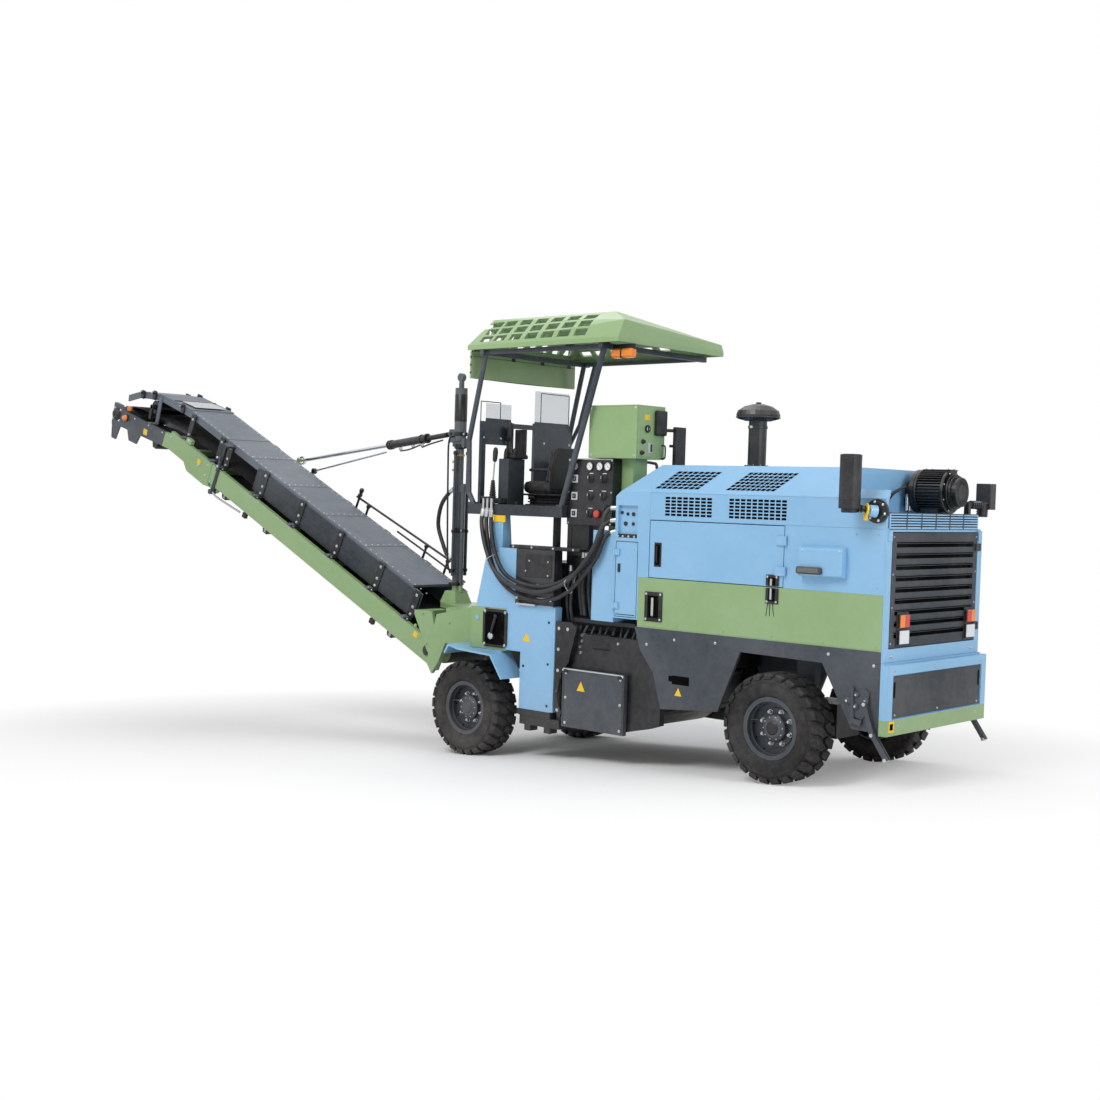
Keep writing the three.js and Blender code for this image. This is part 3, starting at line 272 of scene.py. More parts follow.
# ---------- mesh builder ----------
class Shape:
    """Faces of one piece in millimetres in a local frame, with a material number for each face."""

    def __init__(self, where=LEVEL, side=1):
        self.where, self.side, self.v, self.f, self.m = where, side, [], [], []

    def on_side(self, p):
        """Point or direction given for the left side, on this shape's own side."""
        return Vector((p[0], p[1] * self.side, p[2]))

    def put(self, verts, faces, m):
        n = len(self.v)
        self.v += [Vector(p) for p in verts]
        self.f += [[i + n for i in f] for f in faces]
        self.m += [m] * len(faces)

    def box(self, x0, x1, y0, y1, z0, z1, m=0, c=2, turn=None):
        """Box with its edges cut off at 45 degrees by c."""
        y0, y1 = y0 * self.side, y1 * self.side
        lo = Vector((min(x0, x1), min(y0, y1), min(z0, z1)))
        hi = Vector((max(x0, x1), max(y0, y1), max(z0, z1)))
        mid, half = (lo + hi) / 2, (hi - lo) / 2
        c = min(c, min(half) * 0.8)
        signs = [(a, b, d) for a in (-1, 1) for b in (-1, 1) for d in (-1, 1)]
        at, verts = {}, []
        for s in signs:
            for k in range(3):
                p = [s[i] * (half[i] - (0 if i == k else c)) for i in range(3)]
                at[s, k] = len(verts)
                verts.append(Vector(p))
        faces = []
        for k in range(3):
            a, b = (k + 1) % 3, (k + 2) % 3
            for sk in (-1, 1):
                ring = []
                for sa, sb in ((-1, -1), (1, -1), (1, 1), (-1, 1)):
                    s = [0, 0, 0]
                    s[k], s[a], s[b] = sk, sa, sb
                    ring.append(at[tuple(s), k])
                faces.append(ring)
            for sa in (-1, 1):
                for sb in (-1, 1):
                    s = [0, 0, 0]
                    s[a], s[b] = sa, sb
                    ends = []
                    for sk in (-1, 1):
                        s[k] = sk
                        ends.append(tuple(s))
                    faces.append([at[ends[0], a], at[ends[0], b], at[ends[1], b], at[ends[1], a]])
        faces += [[at[s, 0], at[s, 1], at[s, 2]] for s in signs]
        if turn is not None:
            verts = [turn @ p for p in verts]
        self.put([p + mid for p in verts], faces, m)

    def boxes(self, *rows):
        for row in rows:
            self.box(*row)

    def lathe(self, p, d, profile, m=0, n=16, phase=0.0):
        """Turned form on the axis d through p, from (height, radius) pairs."""
        p, d = self.on_side(p), self.on_side(d).normalized()
        u = d.orthogonal().normalized()
        w = d.cross(u)
        verts, rings = [], []
        for h, r in profile:
            if r < 1e-6:
                rings.append([len(verts)])
                verts.append(p + d * h)
                continue
            rings.append(list(range(len(verts), len(verts) + n)))
            for i in range(n):
                a = 2 * math.pi * i / n + phase
                verts.append(p + d * h + (u * math.cos(a) + w * math.sin(a)) * r)
        faces = []
        for a, b in zip(rings, rings[1:]):
            for i in range(n):
                j = (i + 1) % n
                if len(a) == 1 and len(b) == 1:
                    continue
                if len(a) == 1:
                    faces.append([a[0], b[i], b[j]])
                elif len(b) == 1:
                    faces.append([a[i], a[j], b[0]])
                else:
                    faces.append([a[i], a[j], b[j], b[i]])
        if profile[0] != profile[-1]:
            faces += [list(end) for end in (rings[0], rings[-1]) if len(end) > 1]
        self.put(verts, faces, m)

    def rod(self, p, q, r, m=0, n=14, c=1.5):
        p, q = Vector(p), Vector(q)
        h = (q - p).length
        c = min(c, r * 0.4, h * 0.3)
        self.lathe(p, q - p, [(0, r - c), (c, r), (h - c, r), (h, r - c)], m, n)

    def plate(self, points, axis, a, b, m=0):
        """Flat outline drawn out along one axis from a to b. Its points are the two other coordinates."""
        def place(pt, t):
            out = list(pt)
            out.insert(axis, t)
            return self.on_side(out)
        n = len(points)
        verts = [place(pt, a) for pt in points] + [place(pt, b) for pt in points]
        faces = [list(range(n)), list(range(n, 2 * n))]
        faces += [[i, (i + 1) % n, n + (i + 1) % n, n + i] for i in range(n)]
        self.put(verts, faces, m)

    def tube(self, points, r, m=0, n=10, steps=6):
        """Round hose on a smooth curve through the points."""
        line = smooth([self.on_side(p) for p in points], steps)
        side = (line[1] - line[0]).orthogonal().normalized()
        verts = []
        for i, p in enumerate(line):
            d = (line[min(i + 1, len(line) - 1)] - line[max(i - 1, 0)]).normalized()
            side = (side - d * side.dot(d)).normalized()
            other = d.cross(side)
            for k in range(n):
                a = 2 * math.pi * k / n
                verts.append(p + (side * math.cos(a) + other * math.sin(a)) * r)
        faces = [[i * n + k, i * n + (k + 1) % n, (i + 1) * n + (k + 1) % n, (i + 1) * n + k]
                 for i in range(len(line) - 1) for k in range(n)]
        last = (len(line) - 1) * n
        faces += [list(range(n)), list(range(last, last + n))]
        self.put(verts, faces, m)

    def bolt(self, p, d, r=9, m=0, washer=True):
        """Hexagon head on a washer."""
        if washer:
            self.lathe(p, d, [(-1, r * 1.5), (r * 0.2, r * 1.5), (r * 0.25, r * 1.4)], m, 14)
        self.lathe(p, d, [(r * 0.2, r), (r * 0.8, r), (r * 0.95, r * 0.85)], m, 6, random.random())

    def bolts(self, d, at, points, *rest):
        """Bolts along the axis direction d: at on that axis, and each point's two other coordinates."""
        axis = [abs(t) for t in d].index(1)
        for point in points:
            p = list(point)
            p.insert(axis, at)
            self.bolt(p, d, *rest)

    def ring(self, p, d, inner, outer, thick, m=0, n=24):
        h, c = thick, min(thick, outer - inner) * 0.2
        self.lathe(p, d, [(0, inner), (0, outer - c), (c, outer), (h - c, outer), (h, outer - c), (h, inner),
                          (0, inner)], m, n)


def smooth(points, steps):
    """Points on a Catmull-Rom curve through the given ones."""
    p = [Vector(q) for q in points]
    p = [2 * p[0] - p[1]] + p + [2 * p[-1] - p[-2]]
    line = []
    for a, b, c, d in zip(p, p[1:], p[2:], p[3:]):
        for k in range(steps):
            t = k / steps
            line.append(0.5 * (2 * b + (c - a) * t + (2 * a - 5 * b + 4 * c - d) * t * t
                               + (3 * b - a - 3 * c + d) * t ** 3))
    return line + [p[-2]]


def piece(shape, name, *looks, body="machine", sharp=34.0):
    """Makes the object of a shape and lets it ride on a body."""
    mesh = bpy.data.meshes.new(name)
    mesh.from_pydata([shape.where @ (p * MM) for p in shape.v], [], shape.f)
    mesh.polygons.foreach_set("material_index", shape.m)
    bm = bmesh.new()
    bm.from_mesh(mesh)
    bmesh.ops.remove_doubles(bm, verts=bm.verts, dist=1e-6)
    bmesh.ops.recalc_face_normals(bm, faces=bm.faces)
    bm.to_mesh(mesh)
    bm.free()
    for look in looks:
        mesh.materials.append(look)
    mesh.polygons.foreach_set("use_smooth", [True] * len(mesh.polygons))
    mesh.set_sharp_from_angle(angle=math.radians(sharp))
    made = bpy.data.objects.new(name, mesh)
    bpy.context.scene.collection.objects.link(made)
    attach(made, body)
    return made


def around(n, radius, phase=0.0):
    """Offsets of n points on a circle."""
    turns = [2 * math.pi * (i + phase) / n for i in range(n)]
    return [(radius * math.cos(a), radius * math.sin(a)) for a in turns]


random.seed(7)
MM = 0.001
OUT, BACK, UP, DOWN = (0, 1, 0), (-1, 0, 0), (0, 0, 1), (0, 0, -1)

# ---------- wheels ----------
TREAD_COUNT = 25
TYRE_HALF = 142.5
CARCASS = 397  # radius of the tyre between its tread blocks


def tyre():
    t = Shape()
    h = TYRE_HALF
    wall = [(26 - h, 238), (10 - h, 252), (4 - h, 275), (-h, 305), (-h, 335), (4 - h, 362), (14 - h, 384),
            (34 - h, 394)]
    t.lathe((0, 0, 0), OUT, wall + [(0, CARCASS)] + [(-y, r) for y, r in wall[::-1]] + wall[:1], 0, 96)
    for r in (268, 345, 352):
        for side in (1, -1):
            y = side * (h - 1 if r > 300 else h - 6)
            t.lathe((0, y, 0), (0, side, 0), [(0, r - 3.5), (1.6, r - 1), (1.6, r + 1), (0, r + 3.5),
                    (0, r - 3.5)], 0, 96)
    pitch = 2 * math.pi / TREAD_COUNT
    stations = ((4, 0.00, 0.20, 419.5), (40, 0.10, 0.34, 419.7), (85, 0.34, 0.36, 419.5),
                (122, 0.42, 0.37, 416.5), (139, 0.44, 0.34, 399), (141.5, 0.44, 0.28, 376))
    for side in (1, -1):
        for i in range(TREAD_COUNT):
            a0 = (i + (0.5 if side > 0 else 0)) * pitch
            verts, faces = [], []
            for y, skew, half, r in stations:
                base = min(CARCASS - 4, r - 6)
                for e in (-1, 1):
                    for rr, wide in ((r, half - 0.03), (base, half + 0.04)):
                        a = a0 + (skew * side + e * wide) * pitch
                        verts.append((rr * math.sin(a), side * min(y, h - 0.5), rr * math.cos(a)))
            for k in range(len(stations) - 1):
                p, q = k * 4, (k + 1) * 4
                faces += [[p, p + 2, q + 2, q], [p, q, q + 1, p + 1], [p + 2, p + 3, q + 3, q + 2],
                          [p + 1, q + 1, q + 3, p + 3]]
            e = (len(stations) - 1) * 4
            faces += [[0, 1, 3, 2], [e, e + 2, e + 3, e + 1]]
            t.put(verts, faces, 0)
    return t


def rim_trim(s):
    t = Shape(side=s)
    t.ring((0, 104, 0), OUT, 205, 233.5, 12, 0, 64)
    t.ring((0, 60, 0), OUT, 196, 221.5, 10, 0, 64)
    t.lathe((0, 12, 0), OUT, [(0, 150), (10, 150), (13, 146), (13, 100)], 0, 48)
    for x, z in around(8, 128, 0.5):
        t.lathe((x, 18, z), OUT, [(0, 21), (6, 21), (8, 19)], 1, 16)
        t.lathe((x, 18, z), OUT, [(8, 16.5), (24, 16.5), (27, 14)], 1, 6)
        t.lathe((x, 18, z), OUT, [(26, 9), (37, 9), (38, 8)], 1, 10)
    t.lathe((0, 58, 0), OUT, [(0, 106), (7, 106), (10, 102), (10, 94)], 2, 40)
    t.bolts(OUT, 70, around(10, 84), 6.5, 1, False)
    t.lathe((0, 83, 0), OUT, [(0, 52), (2, 52), (8, 44), (9, 0)], 2, 28)
    t.tube([(170, 20, 50), (185, 45, 55), (190, 75, 56)], 4, 1)
    # twelve small near-black discs of painted shadow on the rim
    for x, z in around(12, 205, 0.2):
        t.lathe((x, 16.5, z), OUT, [(0, 7), (1, 7)], 3, 12)
    return t


for axle in ("rear", "front"):
    for s, side in SIDES:
        node = f"{axle}_tyre_{side}"
        wheel = f"{axle}_wheel_{side}"
        tread, hub = tyre(), rim_trim(s)
        tread.where = hub.where = Matrix.Translation(middle(node))
        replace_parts(piece(tread, f"{node}_tread", RUBBER, body=wheel, sharp=28), node)
        piece(hub, f"{axle}_hub_{side}", GREY, ZINC, BLACK if axle == "rear" else GREY, SLOT, body=wheel)

# ---------- engine hood and body sides ----------
FACE = 740


# near-black cells of painted shadow, one in each slot of a grid
def slot_shadow_cells(shape, xs, zs, width, height, m=0):
    for x in xs:
        for z in zs:
            shape.box(x - width / 2, x + width / 2, FACE - 1, FACE + 1.2,
                      z - height / 2, z + height / 2, m, 1.1)


def spread(a, b, n):
    """Middles of n equal steps from a to b."""
    return [a + (b - a) * (i + 0.5) / n for i in range(n)]


# two outlines of four points each, and the sides between them
SLAB_FACES = [[0, 1, 2, 3], [4, 5, 6, 7], [0, 1, 5, 4], [1, 2, 6, 5], [2, 3, 7, 6], [3, 0, 4, 7]]

for s, side in SIDES:
    # near-black cells of painted shadow in the slots of the hood sides, straight ones and ones on the slope
    grid = Shape(side=s)
    slot_shadow_cells(grid, spread(690, 1160, 8), spread(1975, 2135, 6), 46, 18)
    slot_shadow_cells(grid, spread(0, 536, 10), spread(1975, 2135, 6), 42, 18)
    slope = Vector((0, -180 * s, 225)).normalized()
    face = Vector((0, 225 * s, 180)).normalized()
    foot = Vector((0, FACE * s, 2165))
    for x0, x1, n in ((850, 1290, 8), (140, 595, 10)):
        for xa in spread(x0, x1, n):
            for row in spread(35, 225, 6):
                w, h = (x1 - x0) / n * 0.38, 11.5
                cell = []
                for dx, dh in ((-w, -h), (w, -h), (w, h), (-w, h)):
                    up = row + dh
                    cell.append(foot + slope * up + Vector((xa + dx - 0.80 * (up - 35), 0, 0)))
                verts = [p + face * 1.2 for p in cell] + [p - face * 1 for p in cell]
                grid.put(verts, SLAB_FACES, 0)
    piece(grid, f"hood_slot_shadows_{side}", SLOT)

    trim = Shape(side=s)
    x0, x1 = -525, -150
    trim.plate([(739, 1800), (792, 1786), (800, 1775), (800, 1590), (793, 1580), (739, 1568)], 0, x0, x1, 0)
    trim.boxes((x1 - 210, x1 + 2, 795, 835, 1592, 1646, 1, 10),
               (x1 - 195, x1 - 16, 833, 839, 1602, 1636, 3, 4))
    trim.bolts(OUT, 800, product((x0 + 30, x1 - 30), [1765]), 5, 2)
    trim.bolts(OUT, 740, ((-600, 1900), (-780, 1900), (-780, 1520)), 5)
    trim.boxes((-830, 1300, 738.5, 742.5, 1942.5, 1946.5, 0, 2), (-830, 1300, 738.5, 743, 2160, 2166, 0, 2))
    piece(trim, f"hood_box_{side}", BLUE, GREY, ZINC, HANDLE)

    door = Shape(side=s)
    # the inner near-black boxes are painted shadow in the recesses of the pulls
    door.boxes((1178, 1250, 739.5, 744.5, 1565, 1760, 0, 4), (1190, 1238, 744, 745.5, 1580, 1745, 1, 1))
    door.tube([(1214, 744, 1600), (1214, 757, 1615), (1214, 757, 1715), (1214, 744, 1730)], 6, 0, 8)
    door.boxes((50, 165, 739.5, 752, 1480, 1565, 0, 5), (75, 140, 751, 753.5, 1484, 1545, 1, 1))
    door.bolts(OUT, 752, product((66, 149), [1548]), 6, 2)
    door.box(100, 118, 752, 766, 1482, 1535, 2, 4)
    piece(door, f"engine_door_pull_{side}", PLASTIC, SLOT, ZINC, body=f"engine_door_{side[0]}")

    low = Shape(side=s)
    # the inner near-black boxes are painted shadow in the recesses of the latches
    low.boxes((50, 165, 739.5, 752, 1345, 1463, 0, 5), (75, 140, 751, 753.5, 1365, 1461, 1, 1),
              (100, 118, 752, 766, 1375, 1461, 2, 4))
    low.bolts(OUT, 752, product((66, 149), [1360]), 6, 2)
    for k, dx in enumerate((0, 22, 40)):
        low.tube([(100 + dx, 748, 1350), (95 + dx * 1.4, 743.5, 1300), (85 + dx * 1.8, 742.5, 1250)], 2.2,
                 0, 6)
    low.boxes((1150, 1330, 739.5, 751, 1120, 1360, 0, 6), (1185, 1295, 750, 752.5, 1150, 1330, 1, 1),
              (1228, 1252, 752, 768, 1165, 1315, 2, 6))
    low.bolts(OUT, 751, product((1168, 1312), (1138, 1342)), 7, 2)
    low.box(-830, 1400, 738.5, 742, 1070, 1076.5, 3, 2)
    low.bolts(OUT, 740, product((-790, -350, 100, 550, 1000, 1360), [1095]), 5, 3)
    piece(low, f"lower_panel_latches_{side}", PLASTIC, SLOT, ZINC, SAGE)

    bits = Shape(side=s)
    bits.box(860, 1030, 739.5, 741.2, 635, 705, 0, 1)
    bits.plate([(1030, 655), (1065, 655), (1065, 700), (1030, 700)], 1, 739.5, 741.2, 0)
    bits.bolts(OUT, 740, ((1020, 990), (1300, 930), (620, 1000), (-400, 1010), (-780, 560), (-780, 960)), 8,
               1)
    bits.plate([(930, 545), (1000, 545), (965, 610)], 1, 739.8, 741.2, 2)
    # link arm behind the rear wheel
    bits.plate([(-580, 600), (-560, 750), (-600, 780), (-660, 760), (-720, 790), (-760, 760), (-750, 620),
               (-700, 560)], 1, 739, 752, 3)
    for x, z, r in ((-585, 690, 26), (-655, 655, 22), (-735, 700, 26), (-660, 740, 20)):
        bits.lathe((x, 750, z), OUT, [(0, r), (14, r), (18, r * 0.8), (20, r * 0.4)], 3, 20)
        bits.bolt((x, 768, z), OUT, r * 0.42, 1, False)
    bits.plate([(-635, 790), (-605, 800), (-610, 560), (-600, 530), (-700, 520), (-710, 560), (-645, 565)],
               1, 752, 764, 4)
    arm = [(-745, 700), (-715, 710), (-785, 470), (-915, 285), (-945, 305), (-820, 480)]
    bits.plate(arm, 1, 768, 782, 4)
    bits.plate([(x, z + 4) for x, z in arm], 1, 742, 750, 4)
    for x, z in ((-805, 465), (-920, 300), (-735, 680)):
        bits.rod((x, 736, z), (x, 792, z), 14, 1)
    piece(bits, f"chassis_bits_{side}", SLOT, ZINC, YELLOW, GREY, GREY)

    # narrow door and recess in front of the engine bay
    svc = Shape(side=s)
    # the first box is a thin near-black strip of painted shadow
    svc.boxes((1436, 1640, 739.5, 741.5, 1150, 1156, 0, 0.8), (1600, 1625, 739.5, 750, 1500, 1570, 1, 3))
    svc.bolts(OUT, 740, product([1460], (1200, 1690)), 5, 2)
    piece(svc, f"service_door_trim_{side}", SLOT, PLASTIC, ZINC, body=f"service_door_{side[0]}")

# ---------- rear end ----------
rear = Shape()
XB = -901
rear.box(XB - 4, XB + 1, -684, 684, 588, 893, 0, 2)
for y in (-655, 655):
    rear.box(XB - 7.5, XB - 3, y - 12, y + 12, 735, 850, 1, 2)
rear.bolts(BACK, XB - 4, ((-640, 610), (640, 610), (0, 610)), 6, 2)
rear.bolts(BACK, -913, ((670, 930), (-670, 930), (600, 530), (-600, 530), (50, 930)), 8, 2)
rear.bolts(BACK, -850, product((-620, 620), [1025]), 10, 2)
rear.boxes((-914.5, -912.8, 655, 735, 490, 570, 3, 1), (-915.2, -914, 672, 718, 507, 553, 1, 0.5))
# near-black strips of painted shadow across the fine grille
for z0 in spread(1957, 2055, 5):
    rear.box(-837.5, -835, -672, 672, z0 - 4.2, z0 + 4.2, 1, 1)
for y in (-440, -220, 0, 220, 440):
    rear.box(-839.5, -836, y - 6, y + 6, 1950, 2060, 4, 1)
rear.boxes((-839, -815, -690, 690, 2059.5, 2066.5, 4, 2), (-839, -815, -690, 690, 1942.5, 1948.5, 4, 2))
for y in (-695, 700):
    rear.box(-862, -846, y - 20, y + 30, 1860, 1930, 5, 3)
    rear.bolt((-862, y + 5, 1900), BACK, 6, 2)
piece(rear, "rear_trim", DEEP, SLOT, ZINC, YELLOW, DEEP, BLUE)

# near-black sheet of painted shadow behind the louvres, and lamps on the grille door
grille = Shape()
slat_turn = turn_y(math.radians(-35))
for z in range(1158, 1815, 82):
    grille.boxes((-853.5, -849, -603, 603, z + 40, z + 45, 0, 1.5),
                 (-846, -829, -600, 600, z + 30, z + 34, 0, 1, slat_turn))
grille.box(-822.5, -820.5, -605, 605, 1140, 1900, 1, 0.5)
for y0, y1 in ((395, 565), (-645, -475)):
    grille.box(-856.5, -849.5, y0, y1, 1095, 1345, 2, 4)
    for z0, z1, lens in ((1228, 1330, 3), (1108, 1216, 5)):
        grille.box(-868, -856, y0 + 12, y1 - 12, z0, z1, 2, 3)
        if lens == 3:
            mid = (y0 + y1) / 2
            grille.boxes((-878, -867, y0 + 18, mid, z0 + 5, z1 - 5, 3 if y0 > 0 else 4, 3),
                         (-878, -867, mid, y1 - 18, z0 + 5, z1 - 5, 4 if y0 > 0 else 3, 3))
        else:
            grille.box(-876, -867, y0 + 18, y1 - 18, z0 + 5, z1 - 5, 5, 3)
grille.bolts(BACK, -850, product((-640, 640), (1120, 1380, 1620, 1890)), 5, 6)
piece(grille, "grille_blades", DEEP, SLOT, BLACK, RED, AMBER, CLEAR, ZINC, body="grille_door")

# ---------- fan motor, stacks and lamps on the hood ----------
motor = Shape()
my, mz = -200, 2230
for i in range(44):
    a = 2 * math.pi * i / 44
    turn = Matrix.Rotation(a, 4, "X")
    mid = Vector((-725, my, mz)) + turn @ Vector((0, 0, 156.5))
    if mid.z < mz - 135:
        continue
    t = Shape()
    t.box(-100, 100, -2.8, 2.8, -10, 10, 0, 1)
    motor.put([mid + turn @ p for p in t.v], t.f, 0)
motor.ring((-612, my, mz), BACK, 148, 170, 20, 0, 40)
motor.ring((-828, my, mz), BACK, 120, 166, 26, 0, 40)
motor.ring((-868, my, mz), BACK, 110, 140, 12, 0, 40)
motor.lathe((-936, my, mz), BACK, [(0, 110), (2, 108), (2, 20), (1, 0)], 0, 40)
for (z0, y0), (z1, y1) in zip(around(26, 60), around(26, 103)):
    motor.rod((-937.5, my + y0, mz + z0), (-937.5, my + y1, mz + z1), 2.2, 2, 6)
for z, y in around(8, 150, 0.5):
    motor.bolt((-856, my + y, mz + z), BACK, 7, 1, False)
motor.box(-865, -635, my - 62, my + 62, mz + 163, mz + 171, 0, 2)
for x in (-840, -660):
    for y in (-45, 45):
        motor.bolt((x, my + y, mz + 171), UP, 6, 0, False)
motor.box(-600, -505, my - 50, my + 100, mz - 120, mz - 50, 0, 6)
for y in (0, 40, 80):
    motor.rod((-560, my + 70 + y, mz - 150), (-560, my + 70 + y, mz - 20), 12, 1, 10)
motor.tube([(-560, my + 150, mz - 20), (-580, my + 220, mz + 30), (-530, my + 300, mz - 20),
           (-505, my + 320, mz - 60)], 11, 3)
motor.tube([(-600, my - 140, mz - 120), (-620, my - 220, mz - 160), (-560, my - 270, mz - 180),
           (-505, my - 290, mz - 170)], 13, 3)
piece(motor, "fan_motor_fins", BLACK, ZINC, SLOT, HOSE)

stack = Shape()
sx, sy = 660, 200
stack.ring((sx, sy, 2392), UP, 74, 100, 12, 0, 36)
stack.ring((sx, sy, 2700), UP, 73, 79, 22, 0, 36)
stack.box(sx - 12, sx + 12, sy + 76, sy + 98, 2700, 2722, 1, 2)
for x, y in around(10, 88):
    stack.bolt((sx + x, sy + y, 2404), UP, 5, 1, False)
stack.ring((sx, sy, 2785), UP, 150, 179.5, 10, 0, 48)
for (x0, y0), (x1, y1) in zip(around(36, 100), around(36, 168)):
    stack.rod((sx + x0, sy + y0, 2764), (sx + x1, sy + y1, 2783), 3.2, 2, 6)
stack.lathe((sx, sy, 2899), UP, [(0, 22), (10, 22), (14, 16), (14, 0)], 0, 20)
piece(stack, "air_stack_trim", BLACK, ZINC, SLOT)

lamp = Shape()
lx, ly = -630, 905.3
for z, r in ((2455, 78.5), (2440, 79.5), (2150, 79.5), (2170, 79.5)):
    lamp.ring((lx, ly, z), UP, 70, r, 6, 0, 40)
lamp.lathe((lx, ly, 2085.5), DOWN, [(0, 58), (26, 58), (30, 52), (30, 0)], 0, 32)
lamp.lathe((lx, ly, 2470), UP, [(0, 70), (4, 66), (6, 0)], 0, 36)
lamp.ring((-770, 760, 2072), OUT, 55, 72, 10, 0, 36)
for z, x in around(6, 68, 0.25):
    lamp.lathe((-770 + x, 762.5, 2072 + z), OUT, [(0, 11), (6, 11), (9, 7), (10, 0)], 1, 14)
lamp.lathe((-765, 766, 2070), (0.55, 0.8, 0.1), [(0, 46), (55, 40), (60, 30)], 2, 28)
lamp.ring((-726, 822, 2078), (0.62, 0.75, 0.1), 26, 48, 12, 3, 24)
lamp.box(-742, -706, 832, 838, 2004, 2045, 3, 2)
for k in range(4):
    lamp.ring((-700 + k * 14, 850 + k * 14, 2086 + k * 2), (0.65, 0.73, 0.1), 18, 30 - k * 1, 8, 0, 20)
piece(lamp, "rear_lamp_left_trim", BLACK, ZINC, BLUE, YELLOW)

knob = Shape()
for k in range(6):
    knob.ring((-750, -925, 2052 + k * 16), UP, 30, 49 - 2 * abs(k - 2), 8, 0, 28)
for k in range(5):
    knob.ring((-750, -720 - k * 35, 2140), (0, -1, 0), 18, 34, 16, 0, 24)
knob.boxes((-802, -698, -1033.5, -1030, 2118, 2300, 1, 1), (-811.5, -809.5, -1022, -940, 2120, 2298, 0, 1))
knob.lathe((-750, -925, 2150), UP, [(0, 50), (10, 50), (16, 40), (20, 0)], 0, 28)
piece(knob, "rear_lamp_right_trim", BLACK, SLOT)


# ---------- driver's place ----------
cab = Shape()
for y in (160, -240, -620):  # straps from the roof to the visor
    cab.tube([(3440, y, 3515), (3452, y, 3460), (3453, y, 3410)], 7, 0)
cab.rod((3446, -705, 3392.5), (3446, 705, 3392.5), 4.5, 0)
for x, y in ((3400, 660), (2300, 660), (3400, -660), (1900, 660)):
    cab.box(x - 30, x + 30, y - 25, y + 25, 3395, 3409, 0, 3)
cab.box(1635, 1870, 585, 600, 3345, 3392, 0, 3)  # amber lamp under the roof
cab.boxes((1640, 1865, 560, 640, 3275, 3352, 1, 14), (1745, 1762, 558, 642, 3272, 3354, 0, 3))
cab.rod((1980, 585, 3360), (1980, 585, 3300), 8, 2)
for x, y, z, r in ((2460, 700, 3410, 7), (2900, 700, 3410, 7), (1800, 600, 3420, 6)):
    cab.bolt((x, y, z), DOWN, r, 2)
piece(cab, "canopy_trim", BLACK, AMBER, ZINC)

visor = Shape()
for y in (160, -240, -620):
    visor.box(3436.5, 3460.5, y - 28, y + 28, 3338, 3378, 0, 4)
    visor.bolt((3460.5, y, 3358), (1, 0, 0), 6, 1)
visor.tube([(3456.5, -700, 3158), (3457.5, 0, 3152), (3456.5, 700, 3158)], 9, 0)
visor.boxes((3432.5, 3434.5, -700, 700, 3345, 3349, 0, 1), (3457.5, 3459.5, -700, 700, 3372, 3380, 0, 1))
visor.bolts(OUT, 709.5, product([3446], (3200, 3270, 3340)), 7)
piece(visor, "visor_trim", BLACK, ZINC, body="visor")

# instrument panel: gauges, lit squares, rotary switches and a stop button
panel = Shape()
YP = 632
ROWS = (2262, 2115, 1968)
for x in (2218, 2055, 1945, 1858):
    panel.ring((x, YP - 2, 2370), OUT, 33.5, 40, 14, 0, 32)
    panel.lathe((x, YP, 2370), OUT, [(0, 34), (6, 34), (6, 0)], 1, 32)
    for angle in range(-120, 121, 40):
        tick, turn = Shape(), turn_y(math.radians(angle))
        tick.box(-1, 1, YP + 5.5, YP + 6.8, 22, 29, 0, 0.4)
        panel.put([turn @ p + Vector((x, 0, 2370)) for p in tick.v], tick.f, 0)
    panel.tube([(x - 12, YP + 7.2, 2358), (x + 14, YP + 7.2, 2386)], 1.2, 0, 6)
for z in ROWS:
    panel.boxes((2184, 2252, YP - 2, YP + 8, z - 34, z + 34, 2, 3),
                (2198, 2238, YP + 6, YP + 13, z - 20, z + 20, 0, 3))
    panel.lathe((2218, YP + 12, z), OUT, [(0, 12), (6, 11), (7, 0)], 5, 18)
    for x in (2045, 1900):
        if z == ROWS[2] and x == 1900:
            continue
        panel.lathe((x, YP - 1, z), OUT, [(0, 34), (8, 34), (12, 29), (20, 28), (22, 0)], 0, 28)
        panel.boxes((x - 9, x + 9, YP + 18, YP + 38, z - 28, z + 28, 0, 5),
                    (x - 1.8, x + 1.8, YP + 37.5, YP + 39, z + 4, z + 26, 1, 0.6),
                    (x - 30, x + 12, YP - 0.5, YP + 1.2, z + 44, z + 50, 1, 0.4))
panel.lathe((1950, YP - 1, ROWS[2]), OUT, [(0, 22), (16, 22), (16, 30), (24, 33), (32, 28), (36, 0)], 3, 28)
panel.lathe((1860, YP - 1, 2020), OUT, [(0, 26), (30, 26), (40, 18), (50, 18), (50, 0)], 0, 24)
panel.box(1806, 2294, YP - 1.5, YP + 1.5, 2424, 2430, 4, 0.8)
panel.bolts(OUT, YP, product((1815, 2285), (1885, 2418, 2150)), 5, 4)
piece(panel, "instrument_controls", PLASTIC, WHITE, PALE, RED, ZINC, HANDLE)

